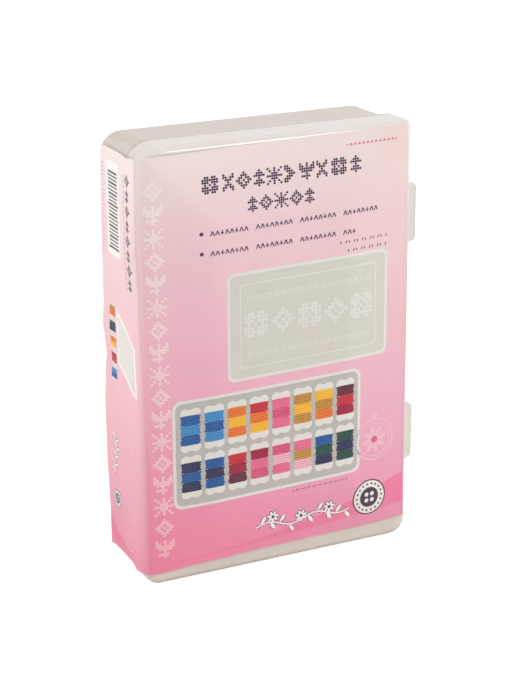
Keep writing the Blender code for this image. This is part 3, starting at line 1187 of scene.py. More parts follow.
@dataclass(frozen=True)
class CardPath:
    """The card's outer face: a distance along it from the front crease, and a height."""

    box: BoxFrame
    thickness: float = 0.4 * MM
    shoulder: float = 0.3 * MM
    shoulder_width: float = 6.0 * MM
    rear_fold: float = 2.7 * MM
    back_right: float = 52.2 * MM
    corner_turn: float = 1.6 * MM
    edge_strip: float = 2.0 * MM
    stand_reach: float = 40.0 * MM
    swell_end: float = 4.0 * MM
    swell_shares: Pair = (0.45, 0.3)
    ripple: float = 0.06 * MM
    ripple_up: float = 31.0 * MM
    ripple_across: float = 19.0 * MM
    front_calm: Pair = (5.0 * MM, 19.0 * MM)
    back_calm: float = 12.0 * MM
    back_ripple_share: float = 0.5
    fold_across: tuple[Pair, ...] = ((40.0, 4.2), (74.0, 2.6), (112.0, 1.0), (178.0, 0.9))
    fold_back: tuple[Pair, ...] = ((40.0, 7.0), (74.0, 6.8), (112.0, 4.6), (178.0, 4.0))
    right_edge: tuple[Pair, ...] = ((10.0, 58.3), (126.0, 58.3), (162.0, 57.9), (177.0, 57.6))
    foot_front: tuple[Pair, ...] = ((-56.0, 5.4), (-35.0, 6.5), (-5.5, 7.4), (28.0, 7.9), (58.5, 8.7))
    head_front: tuple[Pair, ...] = ((-60.0, 177.0), (-56.5, 176.5), (-50.0, 176.95), (-17.0, 177.6),
                                    (26.5, 178.4), (54.0, 179.0))
    foot_spine: tuple[Pair, ...] = ((-17.0, 5.3), (-12.9, 4.9), (-10.3, 5.7), (-3.1, 6.0),
                                    (7.6, 6.0), (13.0, 5.8), (18.3, 5.0))
    head_spine: tuple[Pair, ...] = ((-19.5, 176.6), (-12.0, 176.2), (2.0, 176.3), (12.0, 176.0),
                                    (16.0, 175.2), (19.0, 174.6))
    stand: tuple[Pair, ...] = ((60.0, 0.85), (95.0, 0.6), (120.0, 0.8), (145.0, 1.5), (178.0, 1.1))
    bulge: tuple[Pair, ...] = ((6.0, 0.0), (20.0, 0.05), (47.0, 0.75), (68.0, 0.8), (80.0, 0.3),
                               (88.8, -0.5), (97.0, 0.1), (102.0, 0.8), (107.0, 0.35),
                               (111.0, 0.05), (140.0, -0.1), (171.0, -0.55), (176.0, -0.95))

    @property
    def corner(self) -> Vector:
        """Where the front and the spine would meet in a sharp corner, in X and Y."""
        return Vector((self.box.hinge_x, self.box.front - self.box.gap - self.thickness))

    @property
    def crease(self) -> Vector:
        """Where the spine creases along the hinge, in X and Y."""
        return Vector((self.box.hinge_x, self.box.tray_rim))

    @property
    def lean_top(self) -> Vector:
        """Where the spine ends and the rear fold begins, in X and Y."""
        outer = self.box.hinge_x + self.box.tray_draft
        return Vector((outer, self.box.back + self.box.gap + self.thickness - self.rear_fold))

    @property
    def leaning(self) -> float:
        """Length of the leaning part of the spine, behind the crease."""
        return (self.lean_top - self.crease).length

    @property
    def rear(self) -> float:
        """Length of the rear fold."""
        return self.rear_fold * QUARTER

    def fold(self, height: float) -> tuple[float, float, float]:
        """Return the front fold's reach across and back, and half its length along the card."""
        across = along_table(height / MM, self.fold_across)
        back = along_table(height / MM, self.fold_back)
        return across, back, (across + back) * QUARTER / 4

    def along(self, panel: Panel, place: float, height: float) -> float:
        """Turn a place on a panel into a distance along the card.

        Args:
            panel: The panel.
            place: X on the front and back, Y on the spine.
            height: Height, in Z.

        Returns:
            The distance along the card from the front crease.
        """
        across, back, half = self.fold(height)
        if panel is Panel.FRONT:
            return self.corner.x + across - half - place
        crease = self.crease.y - self.corner.y - back + half
        if panel is Panel.BACK:
            return crease + self.leaning + self.rear + place - self.lean_top.x - self.rear_fold
        if place <= self.crease.y:
            return crease + place - self.crease.y
        share = (place - self.crease.y) / (self.lean_top.y - self.crease.y)
        return crease + self.leaning * share

    def _base(self, run: float, height: float) -> tuple[Vector, Vector]:
        """Return a point of the unruffled outer face and the way out there, in X and Y.

        Args:
            run: Distance along the card.
            height: Height, in Z.

        Returns:
            The point and the outward direction.
        """
        across, back, half = self.fold(height)
        if run <= -half:
            x = self.corner.x + across - half - run
            cover = self.box.gap + self.thickness
            return Vector((x, self.box.lid_face(x, height) - cover)), Vector((0.0, -1.0))
        if run <= half:
            angle = -QUARTER * (1.5 + run / half / 2)
            way = Vector((math.cos(angle), math.sin(angle)))
            point = self.corner + Vector((across * (1 + way.x), back * (1 + way.y)))
            return point, Vector((way.x / across, way.y / back)).normalized()
        run -= self.along(Panel.SPINE, self.crease.y, height)
        if run <= 0.0:
            return self.crease + Vector((0.0, run)), Vector((-1.0, 0.0))
        if run <= self.leaning:
            way = (self.lean_top - self.crease) / self.leaning
            return self.crease + way * run, Vector((-way.y, way.x))
        run -= self.leaning
        centre = self.lean_top + Vector((self.rear_fold, 0.0))
        if run <= self.rear:
            angle = 2 * QUARTER - run / self.rear_fold
            out = Vector((math.cos(angle), math.sin(angle)))
            return centre + out * self.rear_fold, out
        return centre + Vector((run - self.rear, self.rear_fold)), Vector((0.0, 1.0))

    def _ruffle(self, run: float, height: float) -> Vector:
        """Return how far the card stands off its plain shape, in X and Y.

        Args:
            run: Distance along the card.
            height: Height, in Z.

        Returns:
            The shift.
        """
        start = self.along(Panel.SPINE, self.crease.y, height)
        end = start + self.leaning
        half = self.fold(height)[2]
        rise, fall = self.swell_shares
        swell = smooth_step(run, start + rise * self.leaning, end)
        swell *= 1.0 - smooth_step(run, end + fall * self.rear, end + self.rear + self.swell_end)
        near = 1.0 - smooth_step(run, half, start)
        stand = near * (1.0 - smooth_step(-run, 0.0, self.stand_reach))
        shift = Vector((-along_table(height / MM, self.bulge) * swell, 0.0))
        shift.x -= along_table(height / MM, self.stand) * stand
        shift.y += self.shoulder * near * (1.0 - smooth_step(-run, half, half + self.shoulder_width))
        ripple = math.sin(height / self.ripple_up + run / self.ripple_across) * self.ripple
        shift.y += smooth_step(-run, *self.front_calm) * ripple
        calm = smooth_step(run, end + self.rear, end + self.rear + self.back_calm)
        shift.y += calm * ripple * self.back_ripple_share
        return shift

    def place(self, run: float, height: float, lift: float = 0.0) -> Vector:
        """Return a point over the card's outer face.

        Args:
            run: Distance along the card.
            height: Height, in Z.
            lift: How far outside the face; negative is inside.

        Returns:
            The point.
        """
        point, out = self._base(run, height)
        point = point + out * lift + self._ruffle(run, height)
        return Vector((point.x, point.y, height))


@dataclass(frozen=True)
class CardColumn:
    """One column of the card's grid: a share of the way through one stretch of the card."""

    path: CardPath
    stretch: int
    share: float

    def run(self, height: float) -> float:
        """Return the column's distance along the card at a height.

        Args:
            height: Height, in Z.

        Returns:
            The distance.
        """
        path = self.path
        half = path.fold(height)[2]
        right = path.along(Panel.FRONT, along_table(height / MM, path.right_edge), height)
        crease = path.along(Panel.SPINE, path.crease.y, height)
        end = crease + path.leaning
        back = path.along(Panel.BACK, path.back_right, height)
        stops = (right, right + path.edge_strip, -half, half, crease - path.box.gap, crease, end,
                 end + path.rear, back)
        low, high = stops[self.stretch], stops[self.stretch + 1]
        return low + (high - low) * self.share

    def ends(self) -> Pair:
        """Return the height of the card's lower and upper edge in this column.

        Returns:
            The lower and the upper edge, in Z.
        """
        path = self.path
        if self.stretch <= 1:
            edges = []
            for table in (path.foot_front, path.head_front):
                height = table[0][1] * MM
                right = along_table(height / MM, path.right_edge)
                x = path.along(Panel.FRONT, right, height) + right - self.run(height)
                edges.append((x, along_table(x / MM, table)))
            into = edges[1][0] - (right - path.corner_turn)
            drop = path.corner_turn - math.sqrt(max(0.0, path.corner_turn**2 - max(0.0, into) ** 2))
            return edges[0][1], edges[1][1] - drop
        if self.stretch == 2:
            low = path.foot_front[0][1] + (path.foot_spine[0][1] - path.foot_front[0][1]) * self.share
            high = path.head_front[0][1] + (path.head_spine[0][1] - path.head_front[0][1]) * self.share
            return low * MM, high * MM
        edges = []
        for table in (path.foot_spine, path.head_spine):
            height = table[0][1] * MM
            y = self.run(height) - path.along(Panel.SPINE, path.crease.y, height) + path.crease.y
            edges.append(along_table(y / MM, table))
        return edges[0], edges[1]


@dataclass
class CardWrap:
    """The card wrap, one creased sheet from the lid's front round the spine to the back."""

    path: CardPath
    counts: tuple[int, ...] = (8, 120, 14, 9, 6, 14, 10, 36)
    row_step: float = 1.1 * MM
    rim: float = 0.35 * MM
    rim_reach: float = 0.12 * MM
    fold_reach: float = 0.5 * MM
    fold_wear: float = 0.30

    def columns(self) -> list[CardColumn]:
        """Return the columns of the card's grid."""
        found = [CardColumn(self.path, 0, 0.0)]
        for stretch, count in enumerate(self.counts):
            found += [CardColumn(self.path, stretch, (step + 1) / count) for step in range(count)]
        return found

    def worn(self, run: float, height: float, border: float) -> float:
        """Return how far the print is worn at a point of the card.

        Args:
            run: Distance along the card.
            height: Height, in Z.
            border: Distance to the card's nearest edge.

        Returns:
            From 0, new, to 1, worn through.
        """
        crease = self.path.along(Panel.SPINE, self.path.crease.y, height)
        folds = (0.0, crease, crease + self.path.leaning + self.path.rear / 2)
        near = min(abs(run - place) for place in folds)
        edge = math.exp(-border / self.rim_reach)
        return max(edge, self.fold_wear * math.exp(-near / self.fold_reach))

    def levels(self, low: float, high: float, rows: int) -> list[float]:
        """Return the heights of a column's vertices, with a narrow row along each edge."""
        first, last = low + self.rim, high - self.rim
        return [low] + [first + (last - first) * row / rows for row in range(rows + 1)] + [high]

    def build(self, paints: Paints) -> Object:
        """Build and dress the wrap.

        Args:
            paints: The box's materials.

        Returns:
            The wrap.
        """
        path, columns = self.path, self.columns()
        rows = round(path.box.height / self.row_step)
        data = bmesh.new()
        wear = data.verts.layers.float.new("wear")
        grids = []
        for lift in (0.0, -path.thickness):
            grid = []
            for column in columns:
                low, high = column.ends()
                made = []
                for height in self.levels(low, high, rows):
                    run = column.run(height)
                    sides = (run - columns[0].run(height), columns[-1].run(height) - run)
                    vertex = data.verts.new(path.place(run, height, lift))
                    vertex[wear] = self.worn(run, height, min(height - low, high - height, *sides))
                    made.append(vertex)
                grid.append(made)
            grids.append(grid)
        self._faces(data, grids)
        wrap = finish_mesh("card_wrap", data)
        wrap.data.shade_smooth()
        wrap.data.set_sharp_from_angle(angle=math.radians(40.0))
        dress(wrap, Slot.CARD, paints.card, paints.board)
        self.bend(wrap, path)
        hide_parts("wrap_front", "wrap_back")
        return wrap

    @staticmethod
    def _faces(data: BMesh, grids: list[list[list[BMVert]]]) -> None:
        """Join the outer and inner grid of vertices into one closed sheet.

        Args:
            data: The bmesh.
            grids: The outer and the inner grid, as columns of vertices.
        """
        outer, inner = grids
        columns, rows = len(outer) - 1, len(outer[0]) - 1
        for grid, index in ((outer, 0), (inner, 1)):
            for i in range(columns):
                for j in range(rows):
                    corners = (grid[i][j], grid[i + 1][j], grid[i + 1][j + 1], grid[i][j + 1])
                    data.faces.new(corners).material_index = index
        for i in range(columns):
            for j in (0, rows):
                corners = (outer[i][j], outer[i + 1][j], inner[i + 1][j], inner[i][j])
                data.faces.new(corners).material_index = 1
        for j in range(rows):
            for i in (0, columns):
                corners = (outer[i][j], outer[i][j + 1], inner[i][j + 1], inner[i][j])
                data.faces.new(corners).material_index = 1

    @staticmethod
    def bend(item: Object, path: CardPath) -> None:
        """Bake a sheet's placement into its mesh."""
        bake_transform(item)


@dataclass
class InkSheet:
    """Printed shapes on one panel, each a thin closed film of ink on the card."""

    name: str
    path: CardPath
    panel: Panel
    tilt: float = 0.0
    step: float = 1.3 * MM
    layer_height: float = 0.022 * MM
    root: float = 0.05 * MM
    least_cut: float = 0.0001 * MM
    shapes: list[tuple[list[Pair], Ink, int]] = field(default_factory=list)

    def shape(self, outline: list[Pair], ink: Ink, layer: int = 1) -> None:
        """Keep one shape, from points across and up in millimetres, as a film on the lower ones."""
        points = [(across * MM, (height + self.tilt * across) * MM) for across, height in outline]
        self.shapes.append((points, ink, layer))

    def _film(self, outline: list[Pair]) -> BMesh:
        """Lay an outline flat and cut it finely enough to follow the card.

        Args:
            outline: Points in metres.

        Returns:
            A flat bmesh whose vertices are places across the panel and heights.
        """
        data = bmesh.new()
        data.faces.new([data.verts.new((across, height, 0.0)) for across, height in outline])
        spans = []
        for axis in (0, 1):
            values = [point[axis] for point in outline]
            spans.append((min(values), max(values)))
        if max(high - low for low, high in spans) <= 2 * self.step:
            return data
        if len(outline) > 4:
            bmesh.ops.triangulate(data, faces=data.faces[:])
        for axis, (low, high) in enumerate(spans):
            normal = (1.0 - axis, float(axis), 0.0)
            for index in range(math.ceil(low / self.step), math.floor(high / self.step) + 1):
                place = [0.0, 0.0, 0.0]
                place[axis] = index * self.step
                bmesh.ops.bisect_plane(data, geom=data.verts[:] + data.edges[:] + data.faces[:],
                                       dist=self.least_cut, plane_co=place, plane_no=normal)
        return data

    def _lay(self, vertex: BMVert, lift: float) -> Vector:
        """Return where a flat film's vertex lies over the card."""
        across, height = vertex.co.x, vertex.co.y
        return self.path.place(self.path.along(self.panel, across, height), height, lift)

    def build(self, paints: Paints) -> Object:
        """Build and dress every shape as one piece.

        Args:
            paints: The box's materials.

        Returns:
            The printed piece.
        """
        inks = sorted({ink for _, ink, _ in self.shapes}, key=lambda ink: ink.name)
        vertices, faces, indices = [], [], []
        for outline, ink, layer in self.shapes:
            data = self._film(outline)
            data.verts.index_update()
            first, count = len(vertices), len(data.verts)
            for height in (layer * self.layer_height, -self.root):
                vertices += [self._lay(vertex, height) for vertex in data.verts]
            flat = [[vertex.index for vertex in face.verts] for face in data.faces]
            rims = [[vertex.index for vertex in edge.verts] for edge in data.edges if edge.is_boundary]
            made = [[first + k for k in face] for face in flat]
            made += [[first + count + k for k in reversed(face)] for face in flat]
            made += [[first + a, first + b, first + count + b, first + count + a] for a, b in rims]
            faces += made
            indices += [inks.index(ink)] * len(made)
            data.free()
        mesh = bpy.data.meshes.new(self.name)
        mesh.from_pydata(vertices, [], faces)
        mesh.polygons.foreach_set("material_index", indices)
        data = bmesh.new()
        data.from_mesh(mesh)
        bpy.data.meshes.remove(mesh)
        print_piece = finish_mesh(self.name, data)
        print_piece.data.shade_flat()
        dress(print_piece, Slot.CARD, *[paints.inks[ink] for ink in inks])
        CardWrap.bend(print_piece, self.path)
        return print_piece


@dataclass(frozen=True)
class ButtonShares:
    """Sizes of a printed button, as shares of its radius."""

    face: float = 0.93
    notch_ring: float = 0.76
    notch: float = 0.06
    dish: float = 0.56
    hole_place: float = 0.17
    hole: float = 0.1224
    notches: int = 18


@dataclass(frozen=True)
class BobbinShares:
    """Sizes of a printed bobbin, as shares of its width, its height and a strand's pitch."""

    lobe: float = 0.25
    neck_width: float = 0.8
    neck_height: float = 0.94
    wound_from: float = 0.16
    wound_to: float = 0.84
    shade_width: float = 0.88
    strand_width: float = 0.92
    strand_sway: float = 0.06
    strand: float = 0.78
    strands: int = 4


@dataclass
class Stitcher(InkSheet):
    """An ink sheet that draws stitched and printed ornaments, in millimetres."""

    line: float = 0.42
    thread_share: float = 0.31
    arm_share: float = 0.707
    cross_share: float = 1.18
    square_share: float = 0.94
    corner_share: float = 0.18
    slant_share: float = 0.45

    def cross(self, middle: Pair, size: float, ink: Ink, layer: int = 1) -> None:
        """Draw one cross stitch.

        Args:
            middle: Its middle.
            size: Its side.
            ink: Its thread's colour.
            layer: The film it lies on.
        """
        half = self.thread_share * size
        arm = size * self.arm_share - half
        plus = [(arm, half), (half, half), (half, arm), (-half, arm), (-half, half), (-arm, half),
                (-arm, -half), (-half, -half), (-half, -arm), (half, -arm), (half, -half), (arm, -half)]
        turn = math.sqrt(0.5)
        points = [(middle[0] + (x - y) * turn, middle[1] + (x + y) * turn) for x, y in plus]
        self.shape(points, ink, layer)

    def bar(self, start: Pair, end: Pair, width: float, ink: Ink, layer: int = 1) -> None:
        """Draw a straight stitch with pointed ends.

        Args:
            start: One end.
            end: The other end.
            width: Its width.
            ink: Its thread's colour.
            layer: The film it lies on.
        """
        way = Vector(end) - Vector(start)
        side = Vector((-way.y, way.x)).normalized() * width / 2
        tip = way.normalized() * width / 2
        first, last = Vector(start), Vector(end)
        points = [first, first + tip - side, last - tip - side, last, last - tip + side, first + tip + side]
        self.shape([(point.x, point.y) for point in points], ink, layer)

    def chart(self, chart: Chart, left: float, foot: float, pitch: float, ink: Ink,
              layer: int = 1, solid: bool = False) -> None:
        """Stitch a chart, one stitch for each x.

        Args:
            chart: Rows from the top.
            left: Left edge across the panel.
            foot: Lower edge.
            pitch: Side of one stitch.
            ink: The thread's colour.
            layer: The film it lies on.
            solid: Draws full squares in place of crosses.
        """
        for row, line in enumerate(reversed(chart)):
            for column, mark in enumerate(line):
                place = (left + pitch * (column + 0.5), foot + pitch * (row + 0.5))
                if mark == "x" and solid:
                    side = pitch * self.square_share
                    self.block(place, side, side, ink, layer)
                elif mark == "x":
                    self.cross(place, pitch * self.cross_share, ink, layer)

    def charts(self, charts: tuple[Chart, ...], left: float, foot: float, pitch: float,
               gap: float) -> None:
        """Stitch a row of navy charts.

        Args:
            charts: The charts, from the left.
            left: Left edge of the first one.
            foot: Their lower edge.
            pitch: Side of one stitch.
            gap: Space between two of them, in stitches.
        """
        for chart in charts:
            self.chart(chart, left, foot, pitch, Ink.NAVY)
            left += (len(chart[0]) + gap) * pitch

    def dashes(self, start: float, end: float, level: float, size: float, pitch: float,
               ink: Ink = Ink.NAVY) -> None:
        """Draw a row of small slanting stitches.

        Args:
            start: Left end.
            end: Right end.
            level: Height of the row's middle.
            size: A stitch's height.
            pitch: From one stitch to the next.
            ink: Their ink.
        """
        for index in range(int((end - start) / pitch)):
            across = start + pitch * index
            slant = size * (self.slant_share if index % 2 else -self.slant_share)
            self.bar((across, level - size / 2), (across + slant, level + size / 2), self.line, ink)

    def block(self, middle: Pair, width: float, depth: float, ink: Ink, layer: int = 1,
              turn: float = 0.0) -> None:
        """Draw a rectangle with small rounded corners.

        Args:
            middle: Its middle.
            width: Its width.
            depth: Its height.
            ink: Its ink.
            layer: The film it lies on.
            turn: Corner radius, or a small share of the sides where it is 0.
        """
        radius = turn or self.corner_share * min(width, depth)
        steps = 6 if turn else 1
        points = []
        for quarter, (side, up) in enumerate(((1, 1), (-1, 1), (-1, -1), (1, -1))):
            centre = (middle[0] + side * (width / 2 - radius), middle[1] + up * (depth / 2 - radius))
            points += arc(centre, radius, QUARTER * quarter, QUARTER * (quarter + 1), steps)
        self.shape(points, ink, layer)

    def band(self, lower: list[Pair], upper: list[Pair], ink: Ink) -> None:
        """Fill the strip between two lines of as many points."""
        for corners in zip(lower, lower[1:], upper[1:], upper):
            self.shape(list(corners), ink)

    def disc(self, middle: Pair, radius: float, ink: Ink, layer: int = 1, steps: int = 28) -> None:
        """Draw a disc."""
        self.shape(arc(middle, radius, 0.0, FULL_TURN, steps)[:-1], ink, layer)

    def ring(self, middle: Pair, radius: float, width: float, ink: Ink, steps: int = 32) -> None:
        """Draw a ring as short links side by side, with its outer radius and its width."""
        outer = arc(middle, radius, 0.0, FULL_TURN, steps)
        self.band(outer, arc(middle, radius - width, 0.0, FULL_TURN, steps), ink)

    def petals(self, middle: Pair, radius: float, count: int, ink: Ink, layer: int = 1,
               fullness: float = 0.42) -> None:
        """Draw a daisy's petals.

        Args:
            middle: Its middle.
            radius: Its radius.
            count: How many petals it has.
            ink: Its ink.
            layer: The film it lies on.
            fullness: A petal's width as a share of its length.
        """
        first = FULL_TURN / 4 / count
        for tip in arc(middle, radius, first, first + FULL_TURN, count)[:-1]:
            self.leaf(middle, tip, radius * fullness, ink, layer)

    def leaf(self, start: Pair, end: Pair, width: float, ink: Ink, layer: int = 1) -> None:
        """Draw a leaf or petal from its stalk to its tip.

        Args:
            start: Where it leaves the stalk.
            end: Its tip.
            width: Its greatest width.
            ink: Its ink.
            layer: The film it lies on.
        """
        way = Vector(end) - Vector(start)
        side = Vector((-way.y, way.x)).normalized() * width / 2
        steps = 7
        right, left = [], []
        for step in range(1, steps):
            share = step / steps
            swell = math.sin(math.pi * share**1.25)
            middle = Vector(start) + way * share
            right.append(middle - side * swell)
            left.append(middle + side * swell)
        points = [Vector(start), *right, Vector(end), *reversed(left)]
        self.shape([(point.x, point.y) for point in points], ink, layer)

    def sprig(self, stalk: list[Pair], leaves: dict[int, Pair], width: float, fullness: float,
              ink: Ink, layer: int) -> None:
        """Draw a stalk with its leaves.

        Args:
            stalk: Points along the stalk.
            leaves: The way from a point of the stalk to a leaf's tip, by the point's number.
            width: The stalk's width.
            fullness: How much wider than the stalk a leaf is.
            ink: Its ink.
            layer: The film its leaves lie on.
        """
        for first, second in zip(stalk, stalk[1:]):
            self.bar(first, second, width, ink, layer + 1)
        for index, (across, up) in leaves.items():
            tip = (stalk[index][0] + across, stalk[index][1] + up)
            self.leaf(stalk[index], tip, width + fullness, ink, layer)

    def button(self, middle: Pair, radius: float, layer: int = 1) -> None:
        """Draw a sewing button with a navy rim, a pale ring and a dished navy middle.

        Args:
            middle: Its middle.
            radius: Its radius.
            layer: The film its rim lies on.
        """
        shares = ButtonShares()
        self.disc(middle, radius, Ink.NAVY, layer)
        self.disc(middle, radius * shares.face, Ink.CREAM, layer + 1)
        notches = arc(middle, radius * shares.notch_ring, 0.0, FULL_TURN, shares.notches)
        for notch in notches[:-1]:
            self.disc(notch, radius * shares.notch, Ink.NAVY, layer + 2, 8)
        self.disc(middle, radius * shares.dish, Ink.NAVY, layer + 2)
        reach = radius * shares.hole_place
        for side in (-reach, reach):
            for up in (-reach, reach):
                hole = (middle[0] + side, middle[1] + up)
                self.disc(hole, radius * shares.hole, Ink.CREAM, layer + 3, 12)

    def wound_bobbin(self, across: float, foot: float, width: float, height: float,
                     threads: tuple[Ink, ...], layer: int = 1) -> None:
        """Draw a card bobbin with thread wound about its neck.

        Args:
            across: Its middle across the panel.
            foot: Its lower edge.
            width: Its width.
            height: Its height.
            threads: The threads' colours from the foot up.
            layer: The film its card lies on.
        """
        shares = BobbinShares()
        card, lobe = Ink.PANEL_LIGHT, width * shares.lobe
        self.block((across, foot + height / 2), width * shares.neck_width,
                   height * shares.neck_height, card, layer)
        for side in (-1, 1):
            for up in (foot + lobe, foot + height - lobe):
                self.disc((across + side * (width / 2 - lobe), up), lobe, card, layer + 1, 14)
        start = foot + height * shares.wound_from
        pitch = height * (shares.wound_to - shares.wound_from) / (shares.strands * len(threads))
        for index in range(shares.strands * len(threads)):
            level = start + pitch * (index + 0.5)
            wound = width * (shares.strand_width + shares.strand_sway * math.sin(index * 1.9))
            ink = threads[index // shares.strands]
            self.block((across, level), wound, pitch * shares.strand, ink, layer + 3)
        for index, ink in enumerate(threads):
            level = start + pitch * shares.strands * (index + 0.5)
            self.block((across, level), width * shares.shade_width, pitch * shares.strands,
                       SHADES[ink], layer + 2)


SHADES = {
    Ink.SKY: Ink.BLUE, Ink.BLUE: Ink.MIDNIGHT, Ink.MIDNIGHT: Ink.NAVY, Ink.GREEN: Ink.MIDNIGHT,
    Ink.YELLOW: Ink.ORANGE, Ink.ORANGE: Ink.RED, Ink.GOLD: Ink.BROWN, Ink.RED: Ink.CRIMSON,
    Ink.CRIMSON: Ink.MAROON, Ink.MAROON: Ink.MIDNIGHT, Ink.ROSE: Ink.CRIMSON, Ink.PINK: Ink.ROSE,
    Ink.BLUSH: Ink.PINK,
}
DIAMOND = ("...x...", "..xxx..", ".xx.xx.", "xx.x.xx", ".xx.xx.", "..xxx..", "...x...")
FLOWER = ("..xx.xx..", ".xxxxxxx.", ".xxx.xxx.", "..x.x.x..", ".xxx.xxx.", ".xxxxxxx.", "..xx.xx..")
LATTICE = ("x...x", "xx.xx", ".xxx.", "..x..", ".xxx.", "xx.xx", "x...x")
PINE = ("..x..", ".xxx.", "xxxxx", "..x..", ".xxx.", "xxxxx", "..x..")
WAVE = ("xx....", "xxx...", ".xxx..", "..xxx.", ".xxx..", "xxx...", "xx....")
TULIP = ("x..x..x", "xx.x.xx", "xxxxxxx", ".xxxxx.", "...x...", ".xxxx..", "...x...")
SNOW = ("x..x..x", ".x.x.x.", "..xxx..", "xxxxxxx", "..xxx..", ".x.x.x.", "x..x..x")
SMALL_DIAMOND = ("..x..", ".xxx.", "xx.xx", ".xxx.", "..x..")
SMALL_CROSS = ("x.x", ".x.", "x.x")


@dataclass
class Print:
    """A panel's print, which its own class draws as named sheets."""

    path: CardPath
    panel: Panel = Panel.BACK
    tilt: float = 0.0

    def sheet(self, name: str) -> Stitcher:
        """Start a named sheet of the print."""
        return Stitcher(f"{self.panel.value}_{name}", self.path, self.panel, self.tilt)

    def sheets(self) -> list[Stitcher]:
        """Draw every sheet of the print."""
        raise NotImplementedError

    def build(self, paints: Paints) -> list[Object]:
        """Build every sheet of the print with the box's materials."""
        return [sheet.build(paints) for sheet in self.sheets()]


